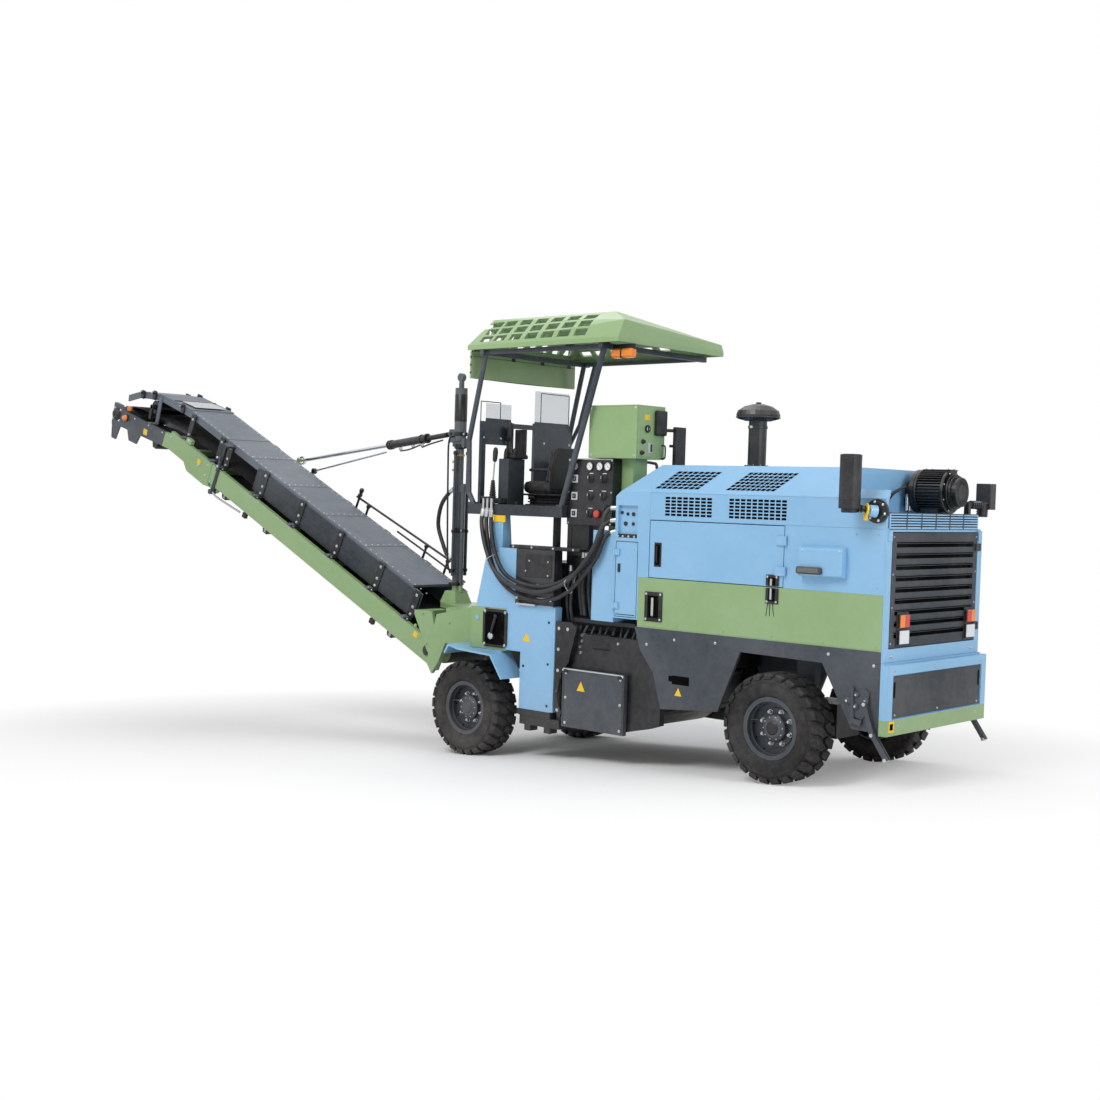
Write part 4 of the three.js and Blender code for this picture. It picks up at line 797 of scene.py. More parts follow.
# control face on the back of the cabinet, its mirror and bolts
dials = Shape()
XC = 1575
dials.boxes((XC - 6, XC + 1, 405, 600, 2455, 2870, 5, 2), (XC - 8, XC - 5, 455, 520, 2762, 2808, 1, 1))
dials.ring((XC - 6, 485, 2690), BACK, 20, 32, 14, 0, 28)
dials.lathe((XC - 6, 485, 2690), BACK, [(0, 21), (10, 21), (12, 0)], 2, 24)
dials.box(XC - 26, XC - 14, 480, 490, 2672, 2708, 0, 2)
for y, z in ((540, 2582), (553, 2490)):
    dials.lathe((XC - 6, y, z), BACK, [(0, 19), (10, 19), (16, 15), (24, 14), (26, 0)], 0, 24)
dials.boxes((XC - 10, XC - 5, 412, 470, 2490, 2575, 3, 2), (XC - 14, XC - 9, 418, 438, 2500, 2565, 0, 2),
            (XC - 40, XC + 1, 250, 385, 2640, 2850, 0, 10), (XC - 44, XC - 39, 262, 373, 2655, 2835, 0, 2))
dials.tube([(XC, 275, 2560), (XC - 35, 275, 2555), (XC - 40, 275, 2520), (XC - 40, 275, 2490),
           (XC - 35, 275, 2455), (XC, 275, 2450)], 7, 0)
dials.bolts(OUT, 612, ((1600, 2860), (2070, 2860), (1600, 2465), (2070, 2465)), 7, 4)
dials.box(1590, 2080, 610.5, 613.5, 2872, 2878, 5, 1)
dials.plate([(68, 2415), (192, 2415), (197, 2440), (197, 2680), (190, 2706), (70, 2706), (63, 2680),
            (63, 2440)], 0, 1483.5, 1486.5, 0)
dials.rod((1500, 130, 2560), (1550, 200, 2560), 12)
piece(dials, "cabinet_controls", PLASTIC, YELLOW, WHITE, PALE, ZINC, SAGE)

# levers, grips and boxes on the deck
deck = Shape()
deck.box(3085, 3300, 380, 660, 2025, 2075, 0, 6)
for x, y, lean in ((3120, 470, 20), (3180, 530, 30), (3240, 590, 15)):
    for k in range(8):
        r = 34 - 2.2 * k
        deck.lathe((x, y, 2075 + k * 20), UP, [(0, r * 0.72), (6, r), (12, r), (20, r * 0.72)], 0, 20)
    deck.rod((x, y, 2220), (x - lean, y, 2420), 7, 1)
    deck.lathe((x - lean, y, 2400), (-lean, 0, 200), [(0, 14), (20, 21), (90, 24), (120, 18), (135, 0)], 0,
               20)
deck.box(3060, 3200, 345, 365, 2440, 2700, 0, 6)
deck.rod((3120, 360, 2430), (3120, 360, 2660), 13, 0)
deck.box(3050, 3190, 330, 520, 2432, 2470, 0, 10)
deck.lathe((3140, 460, 2468), (0.1, 0, 1), [(0, 30), (20, 26), (50, 12), (150, 10), (170, 22), (260, 26),
           (290, 16), (300, 0)], 0, 20)
deck.rod((3400, 280, 2300), (3360, 280, 2620), 11, 0)
deck.lathe((3360, 280, 2600), (-0.1, 0, 1), [(0, 20), (30, 30), (100, 30), (130, 20), (140, 0)], 0, 18)
deck.boxes((3030, 3360, -600, -360, 2022, 2420, 0, 15), (3040, 3350, -590, -370, 2418, 2440, 2, 6))
for x, y in ((3120, -500), (3200, -440), (3280, -520)):
    deck.lathe((x, y, 2438), UP, [(0, 18), (12, 18), (20, 12), (22, 0)], 3, 18)
rail = ((2340, 2022), (2340, 2380), (2400, 2440), (2620, 2440), (2680, 2380), (2680, 2022))
deck.tube([(x, -650.1, z) for x, z in rail], 14)
deck.tube([(2900, 633.6, 2022), (2900, 633.6, 2050)], 14)
deck.box(2320, 3420, -680, 680, 2000.5, 2006, 4, 2)
for i in range(11):
    for j in range(13):
        deck.box(2360 + i * 98, 2400 + i * 98, -645 + j * 105, -638 + j * 105, 2005.5, 2008.5, 4, 1)
piece(deck, "deck_controls", PLASTIC, ZINC, BLACK, RED, DEEP)

board = Shape()
for y0, y1, z0, z1 in ((-620, -220, 2660, 3075), (330, 585, 2700, 2950)):
    for a, b in (((y0, z0), (y0, z1)), ((y1, z0), (y1, z1)), ((y0, z1), (y1, z1)), ((y0, z0), (y1, z0))):
        board.rod((3422.5, *a), (3422.5, *b), 4.5, 0, 8)
board.bolts(BACK, 3390, ((-600, 2600), (-240, 2600), (350, 2620), (570, 2620), (350, 2120), (-580, 2120)),
            8, 1)
piece(board, "console_edges", BLACK, ZINC)

# seat: base, suspension, armrests and two padded parts
base = Shape()
SEAT_LEAN = math.radians(-11)
base.box(2800, 3130, 20, 280, 2001, 2030, 0, 6)
for k in range(6):
    g = 12 * (k % 2)
    base.box(2830 - g, 3100 + g, 45 - g, 255 + g, 2030 + k * 13, 2043 + k * 13, 1, 5)
base.boxes((2790, 3150, 0, 300, 2106, 2124, 0, 6), (2985, 3060, 300, 318, 2075, 2100, 0, 6),
           (2772, 2790, 15, 285, 2160, 2545, 0, 8, turn_y(SEAT_LEAN)))
for y in (-18, 318):
    base.tube([(2800, y, 2150), (2795, y, 2300), (2820, y, 2335)], 10, 0)
    base.box(2800, 3050, y - 11, y + 11, 2325, 2352, 1, 10)
for y in (100, 200):
    base.bolt((3130, y, 2020), (1, 0, 0), 6, 2)
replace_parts(piece(base, "seat_base", BLACK, PLASTIC, ZINC), "operator_seat")


def cushion(name, lo, hi, lean, seams, cap=0.013):
    """Padded part of the seat: a swollen rounded box with sewn channels across it."""
    half = (Vector(hi) - Vector(lo)) / 2
    place = LEVEL @ Matrix.Translation((Vector(hi) + Vector(lo)) / 2) @ turn_y(lean)
    form = Shape(Matrix())
    form.box(-half.x, half.x, -half.y, half.y, -half.z, half.z, 0, min(half) * 0.55)
    mesh = bpy.data.meshes.new(name)
    mesh.from_pydata(form.v, [], form.f)
    bm = bmesh.new()
    bm.from_mesh(mesh)
    bmesh.ops.recalc_face_normals(bm, faces=bm.faces)
    bm.to_mesh(mesh)
    bm.free()
    made = bpy.data.objects.new(name, mesh)
    bpy.context.scene.collection.objects.link(made)

    def bake():
        seen = made.evaluated_get(bpy.context.evaluated_depsgraph_get())
        made.data = bpy.data.meshes.new_from_object(seen)
        made.modifiers.clear()

    remesh = made.modifiers.new("remesh", "REMESH")
    remesh.mode, remesh.voxel_size = "VOXEL", 0.008
    bake()
    rest = [v.co.copy() for v in made.data.vertices]
    cloth = made.modifiers.new("cloth", "CLOTH")
    cloth.settings.use_pressure = True
    cloth.settings.uniform_pressure_force = 4.0
    cloth.settings.effector_weights.gravity = 0.0
    for step in range(1, 21):
        bpy.context.scene.frame_set(step)
    bake()
    for v, r in zip(made.data.vertices, rest):
        move = v.co - r
        if move.length > cap:
            v.co = r + move.normalized() * cap
    bpy.context.scene.frame_set(1)
    rounder = made.modifiers.new("smooth", "SUBSURF")
    rounder.levels = rounder.render_levels = 1
    bake()
    normals = [v.normal.copy() for v in made.data.vertices]
    for v, n in zip(made.data.vertices, normals):
        top = max(0.0, n[0] if half.x < half.z else n[2])
        for axis, at in seams:
            v.co -= n * 0.006 * top * math.exp(-((v.co[axis] - at) / 0.0055) ** 2)
    made.data.transform(place)
    made.data.materials.append(SEAT)
    made.data.polygons.foreach_set("use_smooth", [True] * len(made.data.polygons))
    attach(made, "machine")
    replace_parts(made, "operator_seat")


cushion("seat_cushion", (2.815, 0.012, 2.130), (3.170, 0.288, 2.222), math.radians(-3),
        ((0, -0.09), (0, 0.02), (0, 0.12), (1, -0.095), (1, 0.095)))
cushion("seat_back", (2.800, 0.018, 2.215), (2.872, 0.282, 2.545), SEAT_LEAN,
        ((2, -0.08), (2, 0.0), (2, 0.08), (1, -0.09), (1, 0.09)), 0.009)

# ---------- hoses hung between the engine side and the deck ----------
ROUTES = {
    "deck_hose_a": ((1686, 705, 2025), (1745, 735, 2015), (1775, 768, 1930), (1785, 778, 1800),
                    (1880, 782, 1600), (2110, 784, 1430), (2360, 786, 1335), (2640, 786, 1335),
                    (2880, 782, 1420), (3010, 776, 1590), (3085, 750, 1780), (3115, 728, 1870),
                    (3120, 722, 1955)),
    "deck_hose_b": ((1686, 700, 1830), (1735, 735, 1815), (1765, 770, 1760), (1850, 782, 1580),
                    (2110, 784, 1315), (2410, 786, 1205), (2760, 784, 1255), (3000, 780, 1430),
                    (3110, 762, 1680), (3165, 738, 1860), (3170, 722, 1955)),
    "deck_hose_c": ((1686, 705, 1925), (1742, 740, 1912), (1770, 800, 1850), (1840, 834, 1650),
                    (2080, 838, 1405), (2390, 838, 1285), (2700, 838, 1310), (2940, 834, 1430),
                    (3090, 815, 1640), (3205, 755, 1850), (3220, 722, 1955)),
}


def hose(name, route, r, body):
    """Hose on a smooth curve, with crimped ends."""
    line = smooth(route, 3)
    t = Shape()
    t.tube(line, r, 0, 12, 2)
    for a, b in ((line[0], line[1]), (line[-1], line[-2])):
        d = (b - a).normalized()
        t.lathe(a - d * 12, d, [(0, r * 0.9), (2, r * 1.25), (18, r * 1.25), (20, r * 1.12), (60, r * 1.12),
                (64, r * 1.0)], 1, 14)
    made = piece(t, name, HOSE, ZINC, body=body, sharp=50)
    path = [tuple(LEVEL @ (p * MM)) for p in line]
    while len(path) > 40:
        path = path[::2] + ([path[-1]] if len(path) % 2 == 0 else [])


for name, route in ROUTES.items():
    hose(name, route, 19.5, "machine")
hose("mast_hose", ((4335, 20, 2140), (4400, 20, 2100), (4500, 20, 1980), (4535, 20, 1785), (4460, 20, 1600),
     (4400, 20, 1500), (4345, 20, 1460)), 20, "turret")

ends = Shape()
for z in (2025, 1925, 1830):
    ends.lathe((1669, 690, z), (0.9, 0.35, 0), [(0, 30), (12, 30), (14, 24), (34, 24), (36, 18)], 1, 6)
for x in (3120, 3170, 3220):
    ends.rod((x, 722, 1950), (x, 722, 2075), 12, 1)
    ends.rod((x, 722, 1965), (x, 722, 1985), 18.5, 1, 6)
ends.boxes((3095, 3245, 700.5, 720, 2020, 2046, 0, 4), (3095, 3245, 700.5, 745.5, 2070, 2086, 0, 4))
for a in ((2100, 784, 1380), (3020, 780, 1520)):  # straps round the hoses
    ends.tube([(a[0] - 30, 755, a[2] + 70), (a[0], 865, a[2] + 10), (a[0] + 20, 755, a[2] - 90),
              (a[0] - 30, 755, a[2] + 70)], 3.5, 2, 6)
piece(ends, "hose_fittings", BLACK, ZINC, PALE)

# ---------- dark bay between the engine side and the front column ----------
COLUMN = ((2050, 2870, 640, 743.5, 1640.5, 1672, 0, 6),  # shelf, edge strip and foot of a front column
          (2300, 2322, 655, 745.5, 250, 1155, 3, 3), (2330, 2720, 740, 746, 195, 246, 0, 3))
GUSSET = [(2060, 1000), (2120, 1040), (2290, 1040), (2290, 300), (2240, 220), (2220, 220), (2220, 600),
          (2140, 700)]
bay = Shape()
for x, y0, z0, z1, r in ((2020, 600, 1100, 1620, 17), (2070, 620, 1100, 1620, 17),
                         (2120, 600, 1100, 1620, 17), (2190, 630, 980, 1450, 14),
                         (2250, 610, 980, 1500, 14)):
    bay.tube([(x, y0, z0), (x + 12, y0 + 30, (z0 + z1) / 2), (x, y0, z1)], r, 1)
    bay.lathe((x, y0, z1 - 30), UP, [(0, r * 1.35), (45, r * 1.35), (50, r)], 2, 8)
bay.box(1980, 2310, 565, 600, 1600, 1660, 0, 6)
bay.boxes(*COLUMN)
bay.bolts(OUT, 743.5, product((2120, 2350, 2600, 2820), [1656]), 7, 2)
bay.rod((2340, 757, 1215), (2520, 757, 1215), 17, 2)  # cylinder across the column
bay.rod((2500, 766, 1215), (2720, 766, 1215), 26, 0)
bay.rod((2300, 757, 1215), (2350, 757, 1215), 26, 2)
bay.rod((2520, 757, 1160), (2740, 757, 1160), 14, 2)
for x in (2310, 2710):
    bay.box(x - 22, x + 22, 740.5, 790, 1180, 1250, 0, 5)
    bay.rod((x, 742, 1215), (x, 802, 1215), 12, 2)
bay.bolts(OUT, 740.5, ((2400, 1540), (2620, 1540), (2400, 1420), (2660, 1450), (2520, 1330)), 9, 2)
bay.box(2360, 2670, 740, 744.5, 1400, 1600, 0, 4)
# edge strip, studs and bolts of the column
bay.box(2322, 2345, 739.5, 742.5, 250, 1155, 3, 1)
for x in (2380, 2470, 2620):
    bay.rod((x, 690, 150), (x, 690, 192), 22, 0)
bay.bolts(OUT, 740.5, ((2372, 1020), (2372, 300), (2660, 620), (2372, 660)), 8)
bay.plate([(2585, 835), (2675, 835), (2630, 915)], 1, 740.2, 741.5, 4)
bay.plate(GUSSET, 1, 690, 735.5, 0)
bay.bolts(OUT, 735.5, ((2260, 980), (2260, 800), (2260, 620), (2260, 440), (2255, 280), (2160, 980)), 10, 2)
bay.tube([(2235, 740, 550), (2245, 755, 420), (2235, 750, 330), (2200, 740, 250)], 10, 1)
# hoses and valves in the opening over the side plate
for k in range(9):
    x = 1520 + 75 * k
    bay.tube([(x, 600, 1020), (x + 20 * math.sin(k * 2.1), 660, 880 + 20 * math.cos(k)),
             (x + 30 * math.sin(k * 1.3), 630, 700)], 13 + 3 * (k % 2), 1)
bay.box(1720, 1920, 600, 700, 830, 960, 0, 12)
for z in (850, 880, 910, 940):
    bay.box(1735, 1905, 700, 706, z - 6, z + 6, 0, 3)
for x, z in ((2020, 940), (2020, 890), (2040, 840), (2030, 790), (1620, 900)):
    bay.lathe((x, 660, z), (0.3, 1, 0), [(0, 18), (20, 18), (22, 13), (45, 13), (47, 0)], 2, 6)
bay.box(1500, 2220, 560, 640, 1035, 1078, 0, 5)
piece(bay, "left_bay", BLACK, HOSE, ZINC, BLUE, YELLOW)

other = Shape(side=-1)  # the same column on the far side
for x, z in ((2400, 1540), (2620, 1540), (2400, 1420), (2620, 1420), (2372, 1020), (2372, 300),
             (2660, 620)):
    other.bolt((x, 740.5, z), OUT, 8, 1)
other.boxes(*COLUMN)
for k in range(8):
    x = 1560 + 80 * k
    other.tube([(x, 600, 1020), (x + 20 * math.sin(k * 1.7), 660, 880), (x, 630, 700)], 14, 2)
other.plate(GUSSET, 1, 690, 735.5, 0)
piece(other, "right_bay", BLACK, ZINC, HOSE, BLUE)

for s, side in SIDES:  # side plates of the drum
    plate = Shape(side=s)
    plate.tube([(1530, 744, 628), (1540, 744, 643), (1600, 744, 645), (2120, 744, 645), (2180, 744, 643),
               (2192, 744, 628)], 8.5, 1)
    plate.boxes((1528, 1540, 739.5, 742.5, 170, 620, 2, 2), (2180, 2192, 739.5, 742.5, 170, 620, 2, 2))
    plate.bolts(OUT, 740, product((1560, 2160), (185, 400, 610)), 9, 1)
    plate.boxes((1545, 1585, 739.5, 752, 612, 652, 3, 6), (2135, 2175, 739.5, 752, 612, 652, 3, 6))
    plate.plate([(1945, 470), (2035, 470), (1990, 552)], 1, 739.8, 741.2, 0)
    piece(plate, f"side_plate_trim_{side}", YELLOW, ZINC, DEEP, BLACK, body=f"side_plate_{side}")

# ---------- green front frame ----------
for s, side in SIDES:
    front = Shape(side=s)
    pts = [(2862, 780), (2890, 752), (3130, 752), (3158, 780), (3158, 1062), (3130, 1090), (2890, 1090),
           (2862, 1062)]
    front.plate(pts, 1, 739.5, 751.5, 0)
    front.plate([(x * 0.8 + 3010 * 0.2, z * 0.86 + 921 * 0.14) for x, z in pts], 1, 751, 753.5, 1)
    front.bolts(OUT, 751.5, ((2885, 775), (3135, 775), (2885, 1067), (3135, 1067)), 9, 2)
    front.tube([(3045, 757, 860), (3010, 775, 930), (2985, 770, 1015)], 14, 0)
    front.lathe((3045, 752, 850), OUT, [(0, 30), (18, 30), (22, 22), (26, 0)], 2, 20)
    front.lathe((2985, 757, 1030), OUT, [(0, 18), (18, 18), (22, 10), (22, 0)], 0, 16)
    front.box(3098, 3150, 739.5, 747.5, 1098, 1100, 3, 1)
    front.lathe((3240, 740, 1000), OUT, [(0, 22), (4, 22), (6, 18), (6, 0)], 4, 20)
    front.bolts(OUT, 740.5, ((3600, 920), (3900, 700), (3950, 980), (4050, 860)), 12, 2 if x > 3800 else 3)
    front.box(2990, 3130, 690.5, 712, 1125, 1165, 4, 4)
    front.rod((3020, 712, 1145), (3020, 713.5, 1145), 11, 1)
    front.rod((3090, 712, 1145), (3090, 713.5, 1145), 11, 1)
    front.box(2970, 3110, 688, 700, 1862, 1922, 5, 1)
    piece(front, f"front_lever_panel_{side}", BLACK, SLOT, ZINC, SAGE, BLUE, YELLOW)

# ---------- mast ----------
mast = Shape()
MX = 4280
mast.lathe((MX, 0, 2800), UP, [(0, 56), (6, 62), (265, 62), (275, 56), (285, 30), (285, 20)], 0, 32)
for z, r in ((2660, 62), (2540, 56), (1720, 54)):
    mast.ring((MX, 0, z), UP, 40, r, 45, 0, 32)
    mast.box(MX - 85, MX - 45, -20, 20, z + 4, z + 41, 0, 4)
    mast.bolt((MX - 66, 20, z + 22), OUT, 8, 1)
for z in (2410, 2330):
    mast.lathe((MX, 45, z), OUT, [(0, 18), (20, 18), (22, 13), (45, 13), (48, 0)], 2, 6)
mast.ring((MX, 0, 2465), UP, 38, 50, 20, 2, 32)
for y in (85, -85):
    mast.rod((MX - 30, y, 1300), (MX - 30, y, 2520), 16, 3)
    for z in (1340, 1720, 2480):
        mast.ring((MX - 30, y, z), UP, 14.4, 24, 30, 0, 16)
mast.tube([(MX + 20, 50, 2660), (MX + 50, 100, 2620), (MX + 55, 100, 2300), (MX + 50, 80, 1500),
          (MX + 30, 60, 1320)], 9, 4)
mast.rod((MX, 0, 3200), (MX, 0, 3262), 22, 0)
mast.ring((MX, -14, 3235), OUT, 14, 34, 28, 0, 24)
mast.ring((MX, 0, 1205), UP, 40, 75, 30, 0, 32)
for x, y in around(6, 62):
    mast.bolt((MX + x, y, 1235), UP, 7, 1, False)
piece(mast, "mast_fittings", BLACK, ZINC, BRASS, GREY, HOSE, body="turret")

# ---------- conveyor ----------
def return_roller(shape, at, look):
    """Roller under the boom with its two brackets."""
    shape.rod((at, -330, -248), (at, 330, -248), 38, look, 24)
    bracket = [(at - 70, -190), (at + 70, -190), (at + 35, -275), (at - 35, -275)]
    for shape.side in (-1, 1):
        shape.plate(bracket, 1, 335, 347, look)


RIVET = [(0, 8.5), (3, 7.5), (4.5, 0)]
boom = Shape(BOOM)
LEGS = (560, 1150, 1850, 2550, 3250, 3960)
for boom.side in (-1, 1):
    boom.boxes((600, 3420, 304, 308, 30, 284, 0, 1), (600, 3420, 307, 314, 150, 160, 0, 2))
    for leg in LEGS:
        boom.boxes((leg - 45, leg + 45, 308, 320, 18, 316, 1, 3),
                   (leg - 45, leg + 45, 308, 389, 15, 24, 1, 2))
        boom.bolts(OUT, 320, product([leg], (60, 140, 270)), 11, 2)
        for d in (-28, 28):
            boom.bolt((leg + d, 366, 24), UP, 8, 2)
for at in range(500, 3905, 92):
    for y in (262, -262):
        boom.lathe((at, y, 321.5), UP, RIVET, 2, 10)
for at in (1500, 2200, 2900, 3600):
    boom.box(at - 16, at + 16, -288, 288, 321.5, 324.5, 3, 1)
    for k in range(7):
        boom.lathe((at + 30, -240 + 80 * k, 321.5), UP, [(0, 7.5), (3, 6), (4, 0)], 2, 8)
for at in (705, 2960, 3790):
    return_roller(boom, at, 1)
    for boom.side in (-1, 1):
        boom.bolt((at, 347, -248), OUT, 12, 2)
# hinge strap and clevis
boom.boxes((3925, 3975, 402, 412, -285, 300, 0, 3), (3905, 3995, 300, 414, 285, 312, 0, 5))
boom.rod((3950, 395, 150), (3950, 440, 150), 24, 4)
boom.box(3930, 3970, 410, 428, -20, 130, 4, 6)
boom.rod((3950, 395, 50), (3950, 436, 50), 16, 2)
boom.rod((3950, 360, -262), (3950, 440, -262), 30, 4)
boom.tube([(3950, 410, -250), (3860, 410, -275), (3620, 400, -262), (3400, 390, -245)], 11, 2)
for at, yy in ((3300, 390), (950, 390)):
    boom.box(at - 30, at + 30, yy - 20, yy + 22, -262, -205, 1, 5)
boom.box(300, 360, 400.5, 403, -60, -5, 5, 1)
boom.lathe((120, 400.5, -90), OUT, [(0, 50), (12, 50), (16, 42), (16, 22), (22, 22), (24, 0)], 1, 28)
boom.lathe((120, -400.5, -90), (0, -1, 0), [(0, 50), (12, 50), (16, 42), (16, 0)], 1, 28)
# rods over the far side of the cover
boom.tube([(800, -365, 455), (1300, -365, 438), (2520, -365, 395)], 12, 1)
boom.tube([(620, -345, 365), (1000, -345, 372), (1750, -345, 362)], 10, 1)
for at, top in ((2480, 470), (2300, 400), (1300, 440), (950, 450)):
    boom.rod((at, -365, 20), (at, -365, top), 13, 1)
    boom.ring((at - 12, -365, min(top, 450) - 20), (1, 0, 0), 10, 26, 24, 1, 16)
    boom.box(at - 35, at + 35, -398, -330, 12.5, 24, 1, 3)
boom.lathe((2480, -365, 460), UP, [(0, 22), (35, 26), (50, 16), (50, 0)], 1, 20)
piece(boom, "boom_trim", DEEP, BLACK, ZINC, COVER, GREY, YELLOW, body="boom")

tip = Shape(BOOM)
return_roller(tip, 4330, 0)
for tip.side in (-1, 1):
    tip.bolt((4330, 400, -120), OUT, 12, 1)
    tip.box(4570, 4670, 345, 400, 13, 75, 2, 6)
    tip.rod((4620, 343, 55), (4620, 402, 55), 13, 1)
    tip.box(4300, 4360, 400.5, 403, -105, -45, 3, 1)
    for at, t in ((4160, -40), (4160, -160), (4950, -50)):
        tip.bolt((at, 400.5, t), OUT, 9, 1)
    for leg in (4140, 4760):
        tip.box(leg - 40, leg + 40, 304, 318, 18, 312, 0, 3)
        tip.bolts(OUT, 318, product([leg], (70, 260)), 11, 1)
for i in range(9):
    for y in (262, -262):
        tip.lathe((4140 + 85 * i, y, 321.5), UP, RIVET, 1, 10)
piece(tip, "tip_trim", BLACK, ZINC, SAGE, YELLOW, body="boom_tip")

head = Shape(HEAD)
head.rod((390, -330, -262), (390, 330, -262), 36, 0, 24)
head.rod((620, -270, 150), (620, 270, 150), 78, 0, 32)
for head.side in (-1, 1):
    head.plate([(330, -200), (450, -200), (420, -285), (360, -285)], 1, 335, 347, 0)
    head.lathe((620, 270, 150), OUT, [(0, 30), (30, 30), (34, 20), (60, 20), (60, 0)], 0, 24)
    head.box(595, 645, 302, 330, 0, 175, 0, 6)
    head.lathe((1190, 400, -95), OUT, [(0, 72), (12, 72), (16, 62), (30, 58), (34, 48), (34, 24), (26, 22),
               (26, 0)], 0, 36)
    for x, z in around(4, 90, 0.5):
        head.bolt((1190 + x, 400.5, z - 95), OUT, 11, 1)
    head.lathe((970, 400, -85), OUT, [(0, 40), (20, 40), (22, 30)], 0, 24)
    head.lathe((970, 420, -85), OUT, [(0, 34), (20, 33), (34, 24), (40, 10), (41, 0)], 2, 24)
    head.box(500, 580, 400.5, 403.5, -175, -105, 3, 1)
    for at in (20, 620, 860):
        head.box(at - 30, at + 30, 294, 318, 235 if at < 800 else 190, 345 if at < 800 else 290, 0, 6)
        head.rod((at, 285, 318 if at < 800 else 265), (at, 345, 318 if at < 800 else 265), 18, 0)
        head.bolt((at, 345, 318 if at < 800 else 265), OUT, 10, 1, False)
    for at, t in ((200, -50), (500, -50), (800, -50)):
        head.bolt((at, 400.5, t), OUT, 8, 1)
head.lathe((1050, 330, -10), UP, [(0, 30), (30, 33), (50, 26), (56, 0)], 2, 24)
head.boxes((-80, 200, -210, 210, 332.5, 337.5, 4, 2), (225, 245, -285, 285, 329, 335, 0, 2))
piece(head, "head_trim", BLACK, ZINC, AMBER, YELLOW, PALE, body="boom_tip")

# second rod beside the stay
def beside_boom(*p):
    """Point of the boom's frame, in the level frame."""
    return LEVEL.inverted() @ (BOOM @ (Vector(p) * MM)) / MM


stay_root = Vector((4392, -31, 2690))
stay_dir = (beside_boom(3660, -465, 292) - stay_root).normalized()


def on_stay(along, *off):
    return stay_root + stay_dir * along + Vector(off or (0, 0, 0))


rod = Shape()
low_end = beside_boom(3360, -415, 300)
rod.rod(low_end, on_stay(1220, 0, -10, -65), 11)
rod.lathe(low_end - Vector((0, 20, 0)), OUT, [(0, 30), (2, 32), (38, 32), (40, 30)], 1, 20)
piece(rod, "stay_side_rod", CHROME, BLACK, body="stay_piston")
valves = Shape()
for along in (460, 550, 1100, 1140):
    valves.ring(on_stay(along), stay_dir, 30, 50, 20, 0, 24)
for along in (560, 720, 950):
    valves.lathe(on_stay(along, 0, 0, -42), DOWN, [(0, 20), (20, 20), (24, 13), (40, 13), (40, 0)], 1, 6)
valves.tube([on_stay(560, 0, 0, -80), on_stay(400, 0, 0, -60), on_stay(200, 0, 0, -45)], 8, 2)
valves.tube([on_stay(950, 0, 0, -80), on_stay(750, 0, 30, -85), on_stay(560, 0, 30, -60)], 8, 2)
piece(valves, "stay_valves", BLACK, ZINC, HOSE, body="stay_tube")

# connectors in the recess of the cowl, and roof plate
joints = Shape()
for x, z, r in ((1500, 1980, 24), (1560, 1980, 20), (1620, 1990, 20), (1500, 1900, 20), (1580, 1900, 26)):
    joints.lathe((x, 655, z), OUT, [(0, r), (45, r), (48, r * 0.7), (62, r * 0.7), (62, 0)], 0, 18)
joints.box(1440, 1660, 700, 735, 1775, 1815, 0, 6)
joints.bolts(OUT, 735, product((1470, 1530, 1590, 1640), [1795]), 7, 1)
piece(joints, "cowl_connectors", BLACK, ZINC)

# ---------- camera, light and floor ----------
IMAGE_WIDTH = 1100
F_PIXELS = 1498.354
SENSOR = 36.0
EYE = Vector((SHIFT - 6.3284, 10.2784, 1.6855))
YAW, PITCH, ROLL = math.radians(42.118), math.radians(0.541), math.radians(-1.203)
ahead = Vector((math.sin(YAW) * math.cos(PITCH), -math.cos(YAW) * math.cos(PITCH), math.sin(PITCH)))
right = ahead.cross(Vector((0, 0, 1))).normalized()
upward = right.cross(ahead)
right2 = right * math.cos(ROLL) + upward * math.sin(ROLL)
up2 = upward * math.cos(ROLL) - right * math.sin(ROLL)
camera = bpy.data.objects.new("camera", bpy.data.cameras.new("camera"))
camera.data.sensor_width = SENSOR
camera.data.lens = F_PIXELS / IMAGE_WIDTH * SENSOR
camera.data.clip_end = 300.0
spin = Matrix((right2, up2, -ahead)).transposed().to_4x4()
camera.matrix_world = Matrix.Translation(EYE) @ spin
bpy.context.scene.collection.objects.link(camera)
bpy.context.scene.camera = camera


def area_light(name, at, target, size, power):
    data = bpy.data.lights.new(name, "AREA")
    data.shape, data.size, data.energy = "DISK", size, power
    light = bpy.data.objects.new(name, data)
    light.location = at
    light.rotation_euler = (Vector(target) - Vector(at)).to_track_quat("-Z", "Y").to_euler()
    bpy.context.scene.collection.objects.link(light)


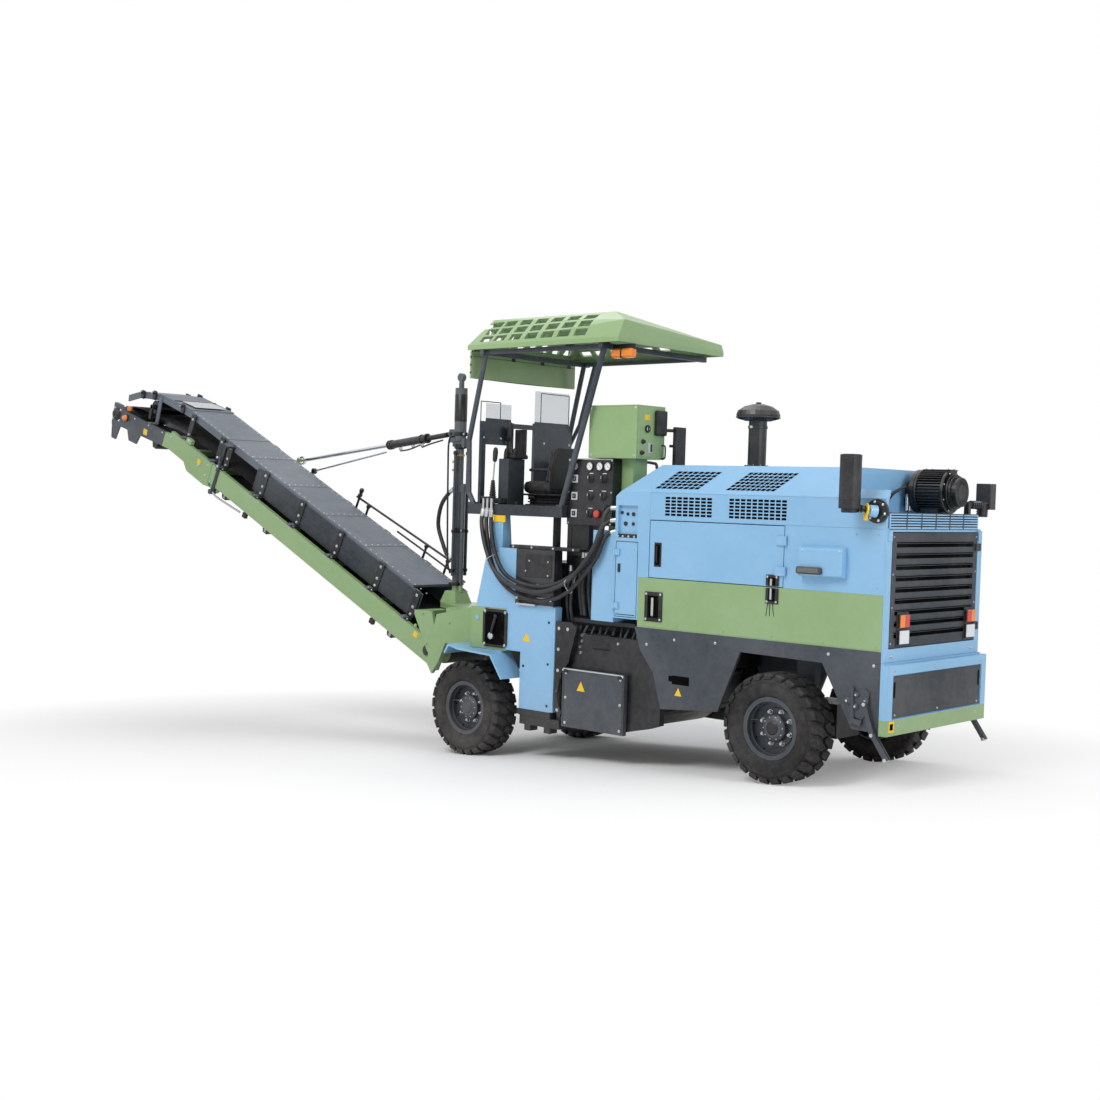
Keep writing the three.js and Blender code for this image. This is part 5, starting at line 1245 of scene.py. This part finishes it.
area_light("key", (-3.0, 9.5, 10.5), (0.0, 0.0, 1.0), 6.0, 800)
area_light("fill", (-12.0, 1.5, 4.5), (-1.0, 0.0, 1.8), 5.0, 240)
area_light("top", (2.0, -3.0, 13.0), (0.0, 0.0, 1.0), 9.0, 330)

world = bpy.data.worlds.new("studio")
world.use_nodes = True
bpy.context.scene.world = world
tree = world.node_tree
back = tree.nodes["Background"]
back.inputs["Color"].default_value = (1, 1, 1, 1)
rays = tree.nodes.new("ShaderNodeLightPath")
seen = tree.nodes.new("ShaderNodeMath")
seen.operation = "MAXIMUM"
tree.links.new(rays.outputs["Is Camera Ray"], seen.inputs[0])
tree.links.new(rays.outputs["Is Glossy Ray"], seen.inputs[1])
level_of = tree.nodes.new("ShaderNodeMapRange")
level_of.inputs["To Min"].default_value = 0.50
level_of.inputs["To Max"].default_value = 1.0
tree.links.new(seen.outputs[0], level_of.inputs["Value"])
tree.links.new(level_of.outputs["Result"], back.inputs["Strength"])

FADE_SHAPE = (0.75, 1.15, 1.0)
FADE = (2.6, 5.6)  # distances over which the floor turns white for the camera
bpy.ops.mesh.primitive_plane_add(size=160)
floor = bpy.context.object
floor.name = "floor"
fm = Nodes("floor")
fm.bsdf.inputs["Base Color"].default_value = (0.93, 0.93, 0.93, 1)
fm.bsdf.inputs["Roughness"].default_value = 0.9
far = fm.node("VectorMath", {0: fm.obj, 1: FADE_SHAPE}, operation="MULTIPLY")
reach = fm.node("VectorMath", {0: far.outputs[0]}, operation="LENGTH").outputs["Value"]
white = fm.node("Emission", {"Color": (1, 1, 1, 1), "Strength": 1.0})
rays_f = fm.tree.nodes.new("ShaderNodeLightPath")
fade = fm.times(fm.ramp(reach, *FADE), rays_f.outputs["Is Camera Ray"])
blend = fm.tree.nodes.new("ShaderNodeMixShader")
fm.tree.links.new(fade, blend.inputs[0])
fm.tree.links.new(fm.bsdf.outputs[0], blend.inputs[1])
fm.tree.links.new(white.outputs[0], blend.inputs[2])
out = fm.tree.nodes["Material Output"]
fm.tree.links.new(blend.outputs[0], out.inputs["Surface"])
floor.data.materials.append(fm.mat)

bpy.context.scene.view_settings.view_transform = "Standard"
